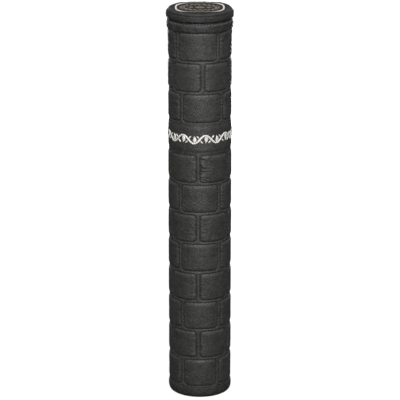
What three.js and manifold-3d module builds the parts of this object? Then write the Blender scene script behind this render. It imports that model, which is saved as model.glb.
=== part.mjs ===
// A tall round leather case for a rolled scroll: a stiff lined tube under a cover quilted in a
// masonry pattern, and a padded lid with a metal plaque, closed by a zip and hung on a leather
// patch at the back. Millimetres. +Z is up, the front faces -Y, and the origin is the centre of
// the underside. Angles run in degrees from the front, positive towards +X.
import * as THREE from "three";
import { mergeVertices } from "three/addons/utils/BufferGeometryUtils.js";
import Module from "manifold-3d";

const wasm = await Module();
wasm.setup();

// Clearance between neighbouring pieces
const fitGap = 0.3;

// Tube, from the scroll's bay outwards
const bayRadius = 31.0;
const liningThickness = 0.5;
const coreWall = 2.0;
const paddingThickness = 1.5;
const coverWall = 0.9;
const brickPuff = 0.9;

// Heights, from the floor up
const baseLeather = 1.2;
const baseBoardThickness = 3.0;
const footHeight = 13.2;
const rowPitch = 36.92;
const collarHeight = 9.6;
const zipSlit = 2.5;
const lidBandHeight = 6.6;

// Quilting
const stripHeight = 3.6;
const jointWidth = 4.4;
const brickSlope = 3.0;
const seamGroove = 0.5;

// Foot band
const footWall = 2.3;
const footTuck = 0.8;
const footRound = 1.3;
const footBulgeHeight = 8.0;

// Zip
const tapeThickness = 0.5;
const tapeWidth = 11.0;
const coilDepth = 1.4;
const coilWidth = 1.9;
const stopLength = 1.6;

// Leather lips that cover the zip
const collarLip = 1.9;
const collarRound = 0.6;
const lidLip = 3.1;
const lipHeight = 1.1;

// Lid
const lidBoardThickness = 2.5;
const lidLeather = 1.2;
const lidRimStep = 1.2;
const lidRimDrop = 0.8;
const lidCrown = 0.9;

// Hinge patch
const patchThickness = 1.2;
const patchWidth = 23.0;
const patchOverlap = 7.2;
const patchTopMargin = 1.3;

// Plaque
const plaqueHalfWidth = 29.6;
const plaqueHalfDepth = 26.4;
const plaqueRimWidth = 2.4;
const plaqueRimHeight = 1.2;
const plaqueRimChamfer = 0.25;
const plaquePlate = 0.8;
const plaqueRelief = 0.4;
const plaqueShelf = 1.2;
const reliefStem = 1.1;
const reliefLeafLength = 8.2;
const reliefLeafWidth = 3.6;
const reliefPetalLength = 8.6;
const reliefPetalWidth = 3.4;
const reliefMargin = 3.4;

// Embroidered vine
const vineHeight = 12.4;
const threadWidth = 2.2;
const threadRise = 0.45;
const leafLength = 7.6;
const leafWidth = 4.2;

// Slider and pull
const sliderWidth = 8.0;
const sliderHeight = 5.6;
const sliderPlate = 1.5;
const sliderNeckWidth = 3.0;
const sliderNeckClearance = 0.5;
const bailWidth = 2.0;
const bailWire = 1.2;
const bailSpan = 6.0;
const pullWidth = 6.2;
const pullLength = 24.0;
const pullThickness = 1.2;
const pullSlotClearance = 0.6;
const pullEnd = 2.4;

// Angles in degrees, and counts. A row's joints are the upright strips between its bricks,
// listed round the tube; rows run from the bottom up, and the cover's own seam is at 180.
const ringSegments = 40;
const lowerRowJoints = [
  [-108, -34.4, 36.4, 107, 180],
  [-122, -62, -3, 60, 120, 180],
  [-108, -35.4, 39.4, 108, 180],
  [-122, -62, -3, 60, 120, 180],
  [-110, -39.9, 39.2, 109, 180],
  [-121, -62, -3.5, 61, 120, 180],
  [-110, -39.9, 39.2, 109, 180],
  [-122, -63, -3, 62, 121, 180],
];
const upperRowJoints = [
  [-108, -36.1, 45.3, 112, 180],
  [-119, -57, 5.5, 66, 122, 180],
  [-112, -45.2, 36.2, 108, 180],
];
const brickStep = 19;
const roundSteps = 3;
const vineReach = 104;
const vineWaves = 5;
const vineStepsPerWave = 14;
const zipReach = 148;
const tapeTail = 8;
const sliderRest = 18;
const arcStep = 9;
const plaqueExponent = 2.9;
const plaquePoints = 48;
const leafPoints = 5;
const reliefLeafPairs = 4;
const reliefLeafTilt = 52;
const petalCount = 6;

// Shares of the sizes that they follow
const tipShare = 0.14;
const leafRiseShare = 1.3;
const reliefStartShare = 0.95;
const petalRiseShare = 1.2;
const leafRiseStepShare = 0.05;

// Angles that follow: the tape runs on past the coil, and the slider rests short of its stop
const tapeReach = zipReach + tapeTail;
const sliderAngle = zipReach - sliderRest;

// Radii that follow
const liningOuter = bayRadius + liningThickness;
const coreInner = liningOuter + fitGap;
const coreOuter = coreInner + coreWall;
const paddingInner = coreOuter + fitGap;
const paddingOuter = paddingInner + paddingThickness;
const coverInner = paddingOuter + fitGap;
const seamRadius = coverInner + coverWall;
const crownRadius = seamRadius + brickPuff;
const footBulge = coverInner + footWall;
const tapeInner = coreOuter + fitGap;
const tapeOuter = tapeInner + tapeThickness;
const coilInner = tapeOuter + fitGap;
const coilOuter = coilInner + coilDepth;
const lipInner = coilOuter + fitGap;
const collarRadius = lipInner + collarLip;
const lidRadius = lipInner + lidLip;
const sliderInner = lidRadius + fitGap;
const sliderOuter = sliderInner + sliderPlate;

// Heights that follow
const boardBottom = baseLeather + fitGap;
const boardTop = boardBottom + baseBoardThickness;
const bayFloor = boardTop + fitGap + liningThickness;
const coverBottom = footHeight + fitGap;
const bandBottom = coverBottom + lowerRowJoints.length * rowPitch;
const bandTop = bandBottom + rowPitch;
const coverTop = bandTop + upperRowJoints.length * rowPitch;
const collarBottom = coverTop + fitGap;
const collarTop = collarBottom + collarHeight;
const slitMiddle = collarTop + zipSlit / 2;
const mouth = slitMiddle - fitGap / 2;
const lidBottom = slitMiddle + fitGap / 2;
const lidBandBottom = collarTop + zipSlit;
const lidBandTop = lidBandBottom + lidBandHeight;
const lidShelf = lidBandTop - lidRimDrop;
const lidBoardBottom = lidBottom + liningThickness + fitGap;
const lidBoardTop = lidBoardBottom + lidBoardThickness;
const lidTopBottom = lidShelf + fitGap;
const lidTopEdge = lidTopBottom + lidLeather;
const lidTopMiddle = lidTopEdge + lidCrown;
const plaqueBottom = lidTopMiddle + fitGap;

const radians = THREE.MathUtils.degToRad;
const degrees = THREE.MathUtils.radToDeg;
const part = new THREE.Group();

// Colours and finishes
const finishes = {
  leather: { color: 0x353433, roughness: 0.55, metalness: 0 },
  board: { color: 0x8a7355, roughness: 0.9, metalness: 0 },
  padding: { color: 0xd9d6cd, roughness: 1, metalness: 0 },
  lining: { color: 0x2a2930, roughness: 0.95, metalness: 0 },
  silverThread: { color: 0xd8d8d6, roughness: 0.4, metalness: 0.3 },
  tape: { color: 0x1c1c1d, roughness: 0.85, metalness: 0 },
  coil: { color: 0x18181a, roughness: 0.45, metalness: 0 },
  zipMetal: { color: 0x8f8e8b, roughness: 0.3, metalness: 1 },
  plaqueDark: { color: 0x3a3530, roughness: 0.45, metalness: 0.7 },
  plaqueBright: { color: 0xc8c4be, roughness: 0.22, metalness: 1 },
};

// A point at an angle from the front, at a radius and a height
function around(angle, radius, z) {
  const turn = radians(angle);
  return [radius * Math.sin(turn), -radius * Math.cos(turn), z];
}

// A closed geometry from loose triangles, merged and turned to face outwards
function closedGeometry(source) {
  const bare = source.index ? source.toNonIndexed() : source.clone();
  bare.deleteAttribute("normal");
  bare.deleteAttribute("uv");
  const merged = mergeVertices(bare);
  const place = merged.attributes.position;
  const index = Array.from(merged.index.array);
  const corner = [new THREE.Vector3(), new THREE.Vector3(), new THREE.Vector3()];
  let volume = 0;
  for (let i = 0; i < index.length; i += 3) {
    corner.forEach((c, k) => c.fromBufferAttribute(place, index[i + k]));
    volume += corner[0].dot(corner[1].clone().cross(corner[2]));
  }
  if (volume < 0) {
    for (let i = 0; i < index.length; i += 3) {
      [index[i + 1], index[i + 2]] = [index[i + 2], index[i + 1]];
    }
  }
  merged.setIndex(index);
  return merged;
}

function addPart(name, geometry, finish) {
  const shown = geometry.clone();
  shown.computeVertexNormals();
  const mesh = new THREE.Mesh(shown, new THREE.MeshStandardMaterial(finishes[finish]));
  mesh.name = name;
  part.add(mesh);
}

// Booleans
function toSolid(geometry) {
  const closed = closedGeometry(geometry);
  return new wasm.Manifold(new wasm.Mesh({
    numProp: 3,
    vertProperties: new Float32Array(closed.attributes.position.array),
    triVerts: new Uint32Array(closed.index.array),
  }));
}

function fromSolid(solid) {
  const mesh = solid.getMesh();
  const geometry = new THREE.BufferGeometry();
  geometry.setAttribute("position", new THREE.BufferAttribute(mesh.vertProperties, 3));
  geometry.setIndex(new THREE.BufferAttribute(mesh.triVerts, 1));
  return geometry;
}

function joined(geometries) {
  const solids = geometries.map(toSolid);
  return fromSolid(solids.reduce((whole, next) => whole.add(next)));
}

function cut(geometry, tools) {
  const solids = tools.map(toSolid);
  return fromSolid(solids.reduce((whole, tool) => whole.subtract(tool), toSolid(geometry)));
}

// A full ring or disc turned from a profile of [radius, height] points
function turned(profile) {
  const points = profile.map(([radius, z]) => new THREE.Vector2(radius, z));
  const onAxis = profile[0][0] === 0 && profile[profile.length - 1][0] === 0;
  if (!onAxis) points.push(points[0].clone());
  const lathe = new THREE.LatheGeometry(points, ringSegments);
  lathe.rotateX(Math.PI / 2);
  return closedGeometry(lathe);
}

// A tube wall between two radii and two heights
function tubeWall(inner, outer, bottom, top) {
  return turned([[inner, bottom], [outer, bottom], [outer, top], [inner, top]]);
}

function disc(radius, bottom, top) {
  return turned([[0, bottom], [radius, bottom], [radius, top], [0, top]]);
}

// A profile swept part of the way round, with closed ends
function arcSweep(profile, from, to) {
  const steps = Math.max(1, Math.round((to - from) / arcStep));
  const outline = profile.map(([radius, z]) => new THREE.Vector2(radius, z));
  const capFaces = THREE.ShapeUtils.triangulateShape(outline, []);
  const count = profile.length;
  const positions = [];
  const index = [];
  for (let s = 0; s <= steps; s += 1) {
    const angle = from + ((to - from) * s) / steps;
    profile.forEach(([radius, z]) => positions.push(...around(angle, radius, z)));
  }
  const clockwise = THREE.ShapeUtils.isClockWise(outline);
  for (let s = 0; s < steps; s += 1) {
    for (let k = 0; k < count; k += 1) {
      const a = s * count + k;
      const b = s * count + ((k + 1) % count);
      index.push(a, b, a + count, b, b + count, a + count);
    }
  }
  capFaces.forEach(([a, b, c]) => {
    const far = steps * count;
    index.push(...(clockwise ? [a, b, c] : [a, c, b]));
    index.push(...(clockwise ? [far + a, far + c, far + b] : [far + a, far + b, far + c]));
  });
  if (clockwise) {
    for (let i = 0; i < steps * count * 6; i += 3) {
      [index[i + 1], index[i + 2]] = [index[i + 2], index[i + 1]];
    }
  }
  const geometry = new THREE.BufferGeometry();
  geometry.setAttribute("position", new THREE.Float32BufferAttribute(positions, 3));
  geometry.setIndex(index);
  return closedGeometry(geometry);
}

// A ring of surface points round the axis, in order of angle
function surfaceRing(z, points) {
  return points
    .map(([angle, radius]) => ({ angle, place: around(angle, radius, z) }))
    .sort((a, b) => a.angle - b.angle);
}

function plainRing(z, radius) {
  const points = [];
  for (let k = 1; k <= ringSegments; k += 1) {
    points.push([(360 * k) / ringSegments - 180, radius]);
  }
  return surfaceRing(z, points);
}

// Triangles between two rings whose points need not match
function stitched(lower, upper, triangles) {
  const at = (ring, k) => ring[k % ring.length];
  const turn = (ring, k) => at(ring, k).angle + (k >= ring.length ? 360 : 0);
  let i = 0;
  let j = 0;
  while (i < lower.length || j < upper.length) {
    const step = j >= upper.length
      || (i < lower.length && turn(lower, i + 1) <= turn(upper, j + 1));
    const next = step ? at(lower, i + 1) : at(upper, j + 1);
    triangles.push(at(lower, i).place, next.place, at(upper, j).place);
    if (step) i += 1;
    else j += 1;
  }
}

// A closed sleeve through a list of rings, from outside bottom to top and back down inside
function sleeve(rings) {
  const triangles = [];
  rings.forEach((ring, k) => stitched(ring, rings[(k + 1) % rings.length], triangles));
  const geometry = new THREE.BufferGeometry();
  geometry.setAttribute("position", new THREE.Float32BufferAttribute(triangles.flat(), 3));
  return closedGeometry(geometry);
}

// Quilted cover
const jointHalfAngle = degrees(jointWidth / 2 / seamRadius);
const slopeAngle = degrees(brickSlope / crownRadius);

// The points across one row: flat joints, bricks that rise to their crown, a seam at the back
function rowPoints(joints) {
  const edge = [];
  const crown = [];
  joints.forEach((joint, k) => {
    const next = k + 1 < joints.length ? joints[k + 1] : joints[0] + 360;
    const left = joint + jointHalfAngle;
    const right = next - jointHalfAngle;
    const spans = Math.max(1, Math.round((right - left - 2 * slopeAngle) / brickStep));
    const angles = [left];
    for (let s = 0; s <= spans; s += 1) {
      angles.push(left + slopeAngle + ((right - left - 2 * slopeAngle) * s) / spans);
    }
    angles.push(right);
    angles.forEach((angle, n) => {
      const wrapped = angle > 180 ? angle - 360 : angle;
      edge.push([wrapped, seamRadius]);
      crown.push([wrapped, n === 0 || n === angles.length - 1 ? seamRadius : crownRadius]);
    });
  });
  edge.push([180, seamRadius - seamGroove]);
  crown.push([180, seamRadius - seamGroove]);
  return { edge, crown };
}

function rowRings(bottom, joints) {
  const { edge, crown } = rowPoints(joints);
  const low = bottom + stripHeight / 2;
  const high = bottom + rowPitch - stripHeight / 2;
  return [
    surfaceRing(low, edge),
    surfaceRing(low + brickSlope, crown),
    surfaceRing(high - brickSlope, crown),
    surfaceRing(high, edge),
  ];
}

function quiltedPanel(bottom, rowJoints) {
  const top = bottom + rowJoints.length * rowPitch;
  return sleeve([
    plainRing(bottom + fitGap / 2, seamRadius),
    ...rowJoints.flatMap((joints, k) => rowRings(bottom + k * rowPitch, joints)),
    plainRing(top - fitGap / 2, seamRadius),
    plainRing(top - fitGap / 2, coverInner),
    plainRing(bottom + fitGap / 2, coverInner),
  ]);
}

function ornamentPanel() {
  const low = bandBottom + stripHeight / 2;
  const high = bandTop - stripHeight / 2;
  return sleeve([
    plainRing(bandBottom + fitGap / 2, seamRadius),
    plainRing(low, seamRadius),
    plainRing(low + brickSlope, crownRadius),
    plainRing(high - brickSlope, crownRadius),
    plainRing(high, seamRadius),
    plainRing(bandTop - fitGap / 2, seamRadius),
    plainRing(bandTop - fitGap / 2, coverInner),
    plainRing(bandBottom + fitGap / 2, coverInner),
  ]);
}

// Embroidery: flat shapes in (along, up) millimetres, laid on the band
const threadInner = crownRadius + fitGap;
const threadOuter = threadInner + threadRise;
const bandMiddle = (bandBottom + bandTop) / 2;

function onBand(along, up, radius) {
  return around(degrees(along / threadInner), radius, bandMiddle + up);
}

// A closed chain of four-cornered sections
function chainSolid(sections) {
  const index = [];
  const last = (sections.length - 1) * 4;
  for (let s = 0; s + 1 < sections.length; s += 1) {
    for (let k = 0; k < 4; k += 1) {
      const a = s * 4 + k;
      const b = s * 4 + ((k + 1) % 4);
      index.push(a, b, a + 4, b, b + 4, a + 4);
    }
  }
  index.push(0, 2, 1, 0, 3, 2, last, last + 1, last + 2, last, last + 2, last + 3);
  const geometry = new THREE.BufferGeometry();
  geometry.setAttribute("position", new THREE.Float32BufferAttribute(sections.flat(2), 3));
  geometry.setIndex(index);
  return closedGeometry(geometry);
}

const vineSwing = (vineHeight - threadWidth) / 2;
const vineHalfLength = radians(vineReach) * threadInner;
const waveLength = (2 * vineHalfLength) / vineWaves;

function vineStem() {
  const steps = vineWaves * vineStepsPerWave;
  const sections = [];
  for (let s = 0; s <= steps; s += 1) {
    const along = -vineHalfLength + (2 * vineHalfLength * s) / steps;
    const phase = (2 * Math.PI * along) / waveLength;
    const slope = ((vineSwing * 2 * Math.PI) / waveLength) * Math.cos(phase);
    const length = Math.hypot(1, slope);
    const acrossU = (-slope / length) * (threadWidth / 2);
    const acrossV = (1 / length) * (threadWidth / 2);
    const up = vineSwing * Math.sin(phase);
    sections.push([
      onBand(along - acrossU, up - acrossV, threadInner),
      onBand(along - acrossU, up - acrossV, threadOuter),
      onBand(along + acrossU, up + acrossV, threadOuter),
      onBand(along + acrossU, up + acrossV, threadInner),
    ]);
  }
  return chainSolid(sections);
}

// An almond leaf as a four-cornered chain; width follows a half wave from stalk to tip
function leafSections(length, width, tipShare, place) {
  const sections = [];
  for (let s = 0; s <= leafPoints; s += 1) {
    const share = s / leafPoints;
    const half = (width / 2) * Math.max(Math.sin(Math.PI * share), tipShare);
    sections.push(place(length * share, half));
  }
  return chainSolid(sections);
}

function vineLeaf(waveIndex) {
  const upward = waveIndex % 2 === 0 ? -1 : 1;
  const along = -vineHalfLength + (waveLength * (waveIndex + 0.5)) / 2;
  const start = upward * vineSwing;
  const outer = threadInner + threadRise * leafRiseShare;
  return leafSections(leafLength + threadWidth / 2, leafWidth, tipShare, (reach, half) => {
    const up = start - upward * reach;
    return [
      onBand(along - half, up, threadInner),
      onBand(along - half, up, outer),
      onBand(along + half, up, outer),
      onBand(along + half, up, threadInner),
    ];
  });
}

function vineEmbroidery() {
  const leaves = [];
  for (let k = 0; k < 2 * vineWaves; k += 1) leaves.push(vineLeaf(k));
  return joined([vineStem(), ...leaves]);
}

// Plaque
function superOutline(halfWidth, halfDepth) {
  const points = [];
  for (let k = 0; k < plaquePoints; k += 1) {
    const turn = (2 * Math.PI * k) / plaquePoints;
    const across = Math.cos(turn);
    const along = Math.sin(turn);
    points.push(new THREE.Vector2(
      Math.sign(across) * halfWidth * Math.abs(across) ** (2 / plaqueExponent),
      Math.sign(along) * halfDepth * Math.abs(along) ** (2 / plaqueExponent),
    ));
  }
  return points;
}

function plaqueRim() {
  const halfWidth = plaqueHalfWidth - plaqueRimChamfer;
  const halfDepth = plaqueHalfDepth - plaqueRimChamfer;
  const shape = new THREE.Shape(superOutline(halfWidth, halfDepth));
  const band = plaqueRimWidth - 2 * plaqueRimChamfer;
  shape.holes.push(new THREE.Path(superOutline(halfWidth - band, halfDepth - band)));
  const geometry = new THREE.ExtrudeGeometry(shape, {
    depth: plaqueRimHeight - 2 * plaqueRimChamfer,
    bevelEnabled: true,
    bevelThickness: plaqueRimChamfer,
    bevelSize: plaqueRimChamfer,
    bevelSegments: 1,
    steps: 1,
  });
  geometry.translate(0, 0, plaqueBottom + plaqueRimChamfer);
  return closedGeometry(geometry);
}

const plateHalfWidth = plaqueHalfWidth - plaqueRimWidth - fitGap;
const plateHalfDepth = plaqueHalfDepth - plaqueRimWidth - fitGap;

function reliefLeaf(x, y, tilt, length, width, height) {
  const turn = radians(tilt);
  const low = plaqueBottom + plaquePlate / 2;
  const high = plaqueBottom + plaquePlate + height;
  return leafSections(length, width, tipShare, (reach, half) => {
    const spot = (side) => [
      x + reach * Math.cos(turn) - side * half * Math.sin(turn),
      y + reach * Math.sin(turn) + side * half * Math.cos(turn),
    ];
    return [
      [...spot(-1), high],
      [...spot(-1), low],
      [...spot(1), low],
      [...spot(1), high],
    ];
  });
}

// A dark plate with a leafy branch to each side of a rosette, raised from it in one casting
function plaquePlateWithRelief() {
  const plate = new THREE.ExtrudeGeometry(
    new THREE.Shape(superOutline(plateHalfWidth, plateHalfDepth)),
    { depth: plaquePlate, bevelEnabled: false, steps: 1 },
  );
  plate.translate(0, 0, plaqueBottom);
  const pieces = [plate];
  const stemReach = plateHalfWidth - reliefMargin;
  const stem = new THREE.BoxGeometry(2 * stemReach, reliefStem, plaquePlate / 2 + plaqueRelief);
  stem.translate(0, 0, plaqueBottom + plaquePlate / 2 + (plaquePlate / 2 + plaqueRelief) / 2);
  pieces.push(stem);
  const leafStart = reliefPetalLength * reliefStartShare;
  const leafSpacing = (stemReach - leafStart) / reliefLeafPairs;
  for (let k = 0; k < reliefLeafPairs; k += 1) {
    const x = leafStart + k * leafSpacing;
    for (const side of [-1, 1]) {
      const spread = side * reliefLeafTilt;
      pieces.push(reliefLeaf(x, 0, spread, reliefLeafLength, reliefLeafWidth, reliefHeight(k)));
      pieces.push(reliefLeaf(-x, 0, 180 - spread, reliefLeafLength, reliefLeafWidth, reliefHeight(k)));
    }
  }
  for (let k = 0; k < petalCount; k += 1) {
    const tilt = (360 * (k + 0.5)) / petalCount;
    pieces.push(reliefLeaf(0, 0, tilt, reliefPetalLength, reliefPetalWidth, plaqueRelief * petalRiseShare));
  }
  return joined(pieces);
}

// Neighbouring leaves differ a little in height, so that no two top faces lie in one plane
function reliefHeight(k) {
  return plaqueRelief * (1 - leafRiseStepShare * (k + 1));
}

// Foot
function quarterRound(centreRadius, centreZ, round, fromDegrees, toDegrees, steps) {
  const points = [];
  for (let s = 0; s <= steps; s += 1) {
    const turn = radians(fromDegrees + ((toDegrees - fromDegrees) * s) / steps);
    points.push([centreRadius + round * Math.cos(turn), centreZ + round * Math.sin(turn)]);
  }
  return points;
}

function footBand() {
  const foot = footBulge - footTuck;
  return turned([
    [coverInner, 0],
    ...quarterRound(foot - footRound, footRound, footRound, -90, 0, roundSteps),
    [footBulge, footBulgeHeight],
    [seamRadius, footHeight],
    [coverInner, footHeight],
  ]);
}

// Collar: a padded strip below, and a lip above that covers the zip from outside
function collarBand() {
  const lipBottom = mouth - coilWidth - fitGap;
  return turned([
    [coilInner, collarBottom],
    [collarRadius, collarBottom],
    ...quarterRound(collarRadius - collarRound, collarTop - collarRound, collarRound, 0, 90, roundSteps),
    [lipInner, collarTop],
    [lipInner, lipBottom],
    [coilInner, lipBottom],
  ]);
}

// Lid side band: a lip below, a shelf for the top leather, and a rounded outer edge
function lidSideBand() {
  const lipTop = lidBandBottom + lipHeight;
  const stepRadius = lidRadius - lidRimStep;
  return turned([
    [lipInner, lidBandBottom],
    ...quarterRound(lidRadius - lidRimDrop, lidBandBottom + lidRimDrop, lidRimDrop, -90, 0, roundSteps),
    ...quarterRound(lidRadius - lidRimStep, lidBandTop - lidRimStep, lidRimStep, 0, 90, roundSteps),
    [stepRadius, lidShelf],
    [coilInner, lidShelf],
    [coilInner, lipTop],
    [lipInner, lipTop],
  ]);
}

function lidTopLeather() {
  const edge = lidRadius - lidRimStep - fitGap;
  const flat = plaqueHalfWidth + plaqueShelf;
  return turned([
    [0, lidTopBottom],
    [edge, lidTopBottom],
    [edge, lidTopEdge],
    [flat, lidTopMiddle],
    [0, lidTopMiddle],
  ]);
}

// Hinge patch: over the collar, across the slit and up the lid's side
function hingePatch() {
  const low = collarRadius + fitGap;
  const high = lidRadius + fitGap;
  const halfAngle = degrees(patchWidth / 2 / high);
  return arcSweep([
    [low, collarTop - patchOverlap],
    [low + patchThickness, collarTop - patchOverlap],
    [low + patchThickness, collarTop],
    [high + patchThickness, lidBandBottom],
    [high + patchThickness, lidBandTop - patchTopMargin],
    [high, lidBandTop - patchTopMargin],
    [high, lidBandBottom],
    [low, collarTop],
  ], 180 - halfAngle, 180 + halfAngle);
}

// Zip stop, clamped on the end of the case's coil
function zipStop(side) {
  const near = zipReach + degrees(fitGap / coilOuter);
  const far = near + degrees(stopLength / coilOuter);
  const profile = [
    [coilInner, mouth - coilWidth],
    [coilOuter, mouth - coilWidth],
    [coilOuter, mouth],
    [coilInner, mouth],
  ];
  return side > 0 ? arcSweep(profile, near, far) : arcSweep(profile, -far, -near);
}

function coilStrip(bottom) {
  return arcSweep([
    [coilInner, bottom],
    [coilOuter, bottom],
    [coilOuter, bottom + coilWidth],
    [coilInner, bottom + coilWidth],
  ], -zipReach, zipReach);
}

function tapeStrip(bottom, top) {
  return arcSweep([[tapeInner, bottom], [tapeOuter, bottom], [tapeOuter, top], [tapeInner, top]],
    -tapeReach, tapeReach);
}

// A box from its low and high corners, x across, y outwards from the axis, and z up
function boxBetween(low, high) {
  const size = high.map((value, k) => value - low[k]);
  const box = new THREE.BoxGeometry(...size);
  box.translate(...low.map((value, k) => value + size[k] / 2));
  return box;
}

// A piece built straight ahead at +Y, turned to its angle from the front
function turnedTo(geometry, angle) {
  const placed = geometry.clone();
  placed.rotateZ(radians(angle + 180));
  return closedGeometry(placed);
}

// Slider: a plate outside the leather, a neck through the slit, and a bail for the pull
const bailInner = sliderOuter + pullThickness + 2 * pullSlotClearance;
const bailOuter = bailInner + bailWire;
const pullAxisRadius = sliderOuter + pullSlotClearance + pullThickness / 2;

function zipSlider() {
  const neckHalf = zipSlit / 2 - sliderNeckClearance;
  const overlap = sliderPlate / 2;
  const plate = boxBetween(
    [-sliderWidth / 2, sliderInner, slitMiddle - sliderHeight / 2],
    [sliderWidth / 2, sliderOuter, slitMiddle + sliderHeight / 2],
  );
  const neck = boxBetween(
    [-sliderNeckWidth / 2, lipInner, slitMiddle - neckHalf],
    [sliderNeckWidth / 2, sliderInner + overlap, slitMiddle + neckHalf],
  );
  const bail = boxBetween(
    [-bailWidth / 2, sliderOuter - overlap, slitMiddle - bailSpan / 2],
    [bailWidth / 2, bailOuter, slitMiddle + bailSpan / 2],
  );
  const eye = boxBetween(
    [-bailWidth, sliderOuter, slitMiddle - bailSpan / 2 + bailWire],
    [bailWidth, bailInner, slitMiddle + bailSpan / 2 - bailWire],
  );
  return turnedTo(joined([plate, neck, cut(bail, [eye])]), sliderAngle);
}

// Pull: hangs from the bail by its top bar; the slot below the bar lets the bail through
function zipPull() {
  const outline = new THREE.Shape();
  const half = pullWidth / 2;
  const top = pullThickness / 2;
  outline.moveTo(-half, top);
  outline.lineTo(half, top);
  outline.lineTo(half, pullEnd - pullLength);
  outline.lineTo(half - pullEnd, -pullLength);
  outline.lineTo(pullEnd - half, -pullLength);
  outline.lineTo(-half, pullEnd - pullLength);
  outline.closePath();
  const slotHalf = bailWidth / 2 + pullSlotClearance;
  const reach = Math.hypot(bailOuter - pullAxisRadius, bailSpan / 2) + pullSlotClearance;
  const slot = new THREE.Path();
  slot.moveTo(-slotHalf, -top);
  slot.lineTo(-slotHalf, -reach);
  slot.lineTo(slotHalf, -reach);
  slot.lineTo(slotHalf, -top);
  slot.closePath();
  outline.holes.push(slot);
  const plate = new THREE.ExtrudeGeometry(outline, { depth: pullThickness, bevelEnabled: false });
  plate.translate(0, 0, -pullThickness / 2);
  plate.rotateX(Math.PI / 2);
  plate.translate(0, pullAxisRadius, slitMiddle);
  return turnedTo(plate, sliderAngle);
}

// Case
addPart("core_tube", tubeWall(coreInner, coreOuter, boardBottom, mouth), "board");
addPart("base_board", disc(liningOuter, boardBottom, boardTop), "board");
addPart("tube_lining", tubeWall(bayRadius, liningOuter, boardTop + fitGap, mouth), "lining");
addPart("base_lining", disc(bayRadius - fitGap, boardTop + fitGap, bayFloor), "lining");
addPart("core_padding",
  tubeWall(paddingInner, paddingOuter, boardBottom, mouth - tapeWidth - fitGap), "padding");
addPart("base_leather", disc(paddingOuter, 0, baseLeather), "leather");
addPart("foot_band", footBand(), "leather");
addPart("lower_quilted_panel", quiltedPanel(coverBottom, lowerRowJoints), "leather");
addPart("ornament_panel", ornamentPanel(), "leather");
addPart("upper_quilted_panel", quiltedPanel(bandTop, upperRowJoints), "leather");
addPart("ornament_embroidery", vineEmbroidery(), "silverThread");
addPart("collar_band", collarBand(), "leather");
addPart("zip_tape_case", tapeStrip(mouth - tapeWidth, mouth), "tape");
addPart("zip_coil_case", coilStrip(mouth - coilWidth), "coil");
addPart("zip_stop_right", zipStop(1), "zipMetal");
addPart("zip_stop_left", zipStop(-1), "zipMetal");
addPart("hinge_patch", hingePatch(), "leather");

// Lid
addPart("lid_lining", disc(coreOuter, lidBottom, lidBottom + liningThickness), "lining");
addPart("lid_board", disc(coreOuter, lidBoardBottom, lidBoardTop), "board");
addPart("lid_padding", disc(coreOuter, lidBoardTop + fitGap, lidShelf), "padding");
addPart("lid_side_band", lidSideBand(), "leather");
addPart("lid_top_leather", lidTopLeather(), "leather");
addPart("zip_tape_lid", tapeStrip(lidBottom, lidShelf), "tape");
addPart("zip_coil_lid", coilStrip(lidBottom), "coil");
addPart("plaque_rim", plaqueRim(), "plaqueBright");
addPart("plaque_plate", plaquePlateWithRelief(), "plaqueDark");

// Zip slider and pull
addPart("zip_slider", zipSlider(), "zipMetal");
addPart("zip_pull", zipPull(), "zipMetal");

export default part;
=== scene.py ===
import math

import bmesh
import bpy
import numpy as np
from mathutils import Matrix, Vector, noise


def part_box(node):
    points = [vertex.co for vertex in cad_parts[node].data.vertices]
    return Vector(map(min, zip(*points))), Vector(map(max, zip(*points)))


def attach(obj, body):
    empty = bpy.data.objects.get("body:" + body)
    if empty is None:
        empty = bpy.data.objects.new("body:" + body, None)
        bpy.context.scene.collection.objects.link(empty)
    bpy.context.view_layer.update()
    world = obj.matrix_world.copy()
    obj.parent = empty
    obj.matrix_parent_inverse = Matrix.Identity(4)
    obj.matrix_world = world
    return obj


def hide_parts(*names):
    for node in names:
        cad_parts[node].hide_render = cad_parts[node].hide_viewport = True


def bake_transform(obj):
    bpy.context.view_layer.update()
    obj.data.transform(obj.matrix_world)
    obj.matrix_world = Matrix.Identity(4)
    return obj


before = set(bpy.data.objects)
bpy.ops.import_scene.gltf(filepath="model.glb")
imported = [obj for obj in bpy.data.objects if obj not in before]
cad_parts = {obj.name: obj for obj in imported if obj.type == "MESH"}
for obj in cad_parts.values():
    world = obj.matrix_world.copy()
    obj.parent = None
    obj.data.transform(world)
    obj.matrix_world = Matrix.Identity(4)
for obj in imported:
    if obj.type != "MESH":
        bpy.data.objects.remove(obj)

MM = 0.001
TURN = 2 * math.pi
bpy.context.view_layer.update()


# Sizes read from the frame, in millimetres
def node_size(name):
    """A node's lowest and highest level at rest, and how far it reaches to +X and +Y"""
    low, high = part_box(name)
    return {"bottom": low.z / MM, "top": high.z / MM, "radius": high.x / MM, "depth": high.y / MM}


UPPER = node_size("upper_quilted_panel")
BAND = node_size("ornament_panel")
LOWER = node_size("lower_quilted_panel")
COLLAR = node_size("collar_band")
FOOT = node_size("foot_band")
LID_SIDE = node_size("lid_side_band")
LID_TOP = node_size("lid_top_leather")
RIM = node_size("plaque_rim")
PLATE = node_size("plaque_plate")
CORE = node_size("core_tube")
TAPE = node_size("zip_tape_case")
COIL = node_size("zip_coil_case")
COIL_LID = node_size("zip_coil_lid")
PADDING = node_size("core_padding")
LID_BOARD = node_size("lid_board")
LID_LINING = node_size("lid_lining")
BAY_RADIUS = min(math.hypot(v.co.x, v.co.y)
                 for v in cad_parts["tube_lining"].data.vertices) / MM

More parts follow.
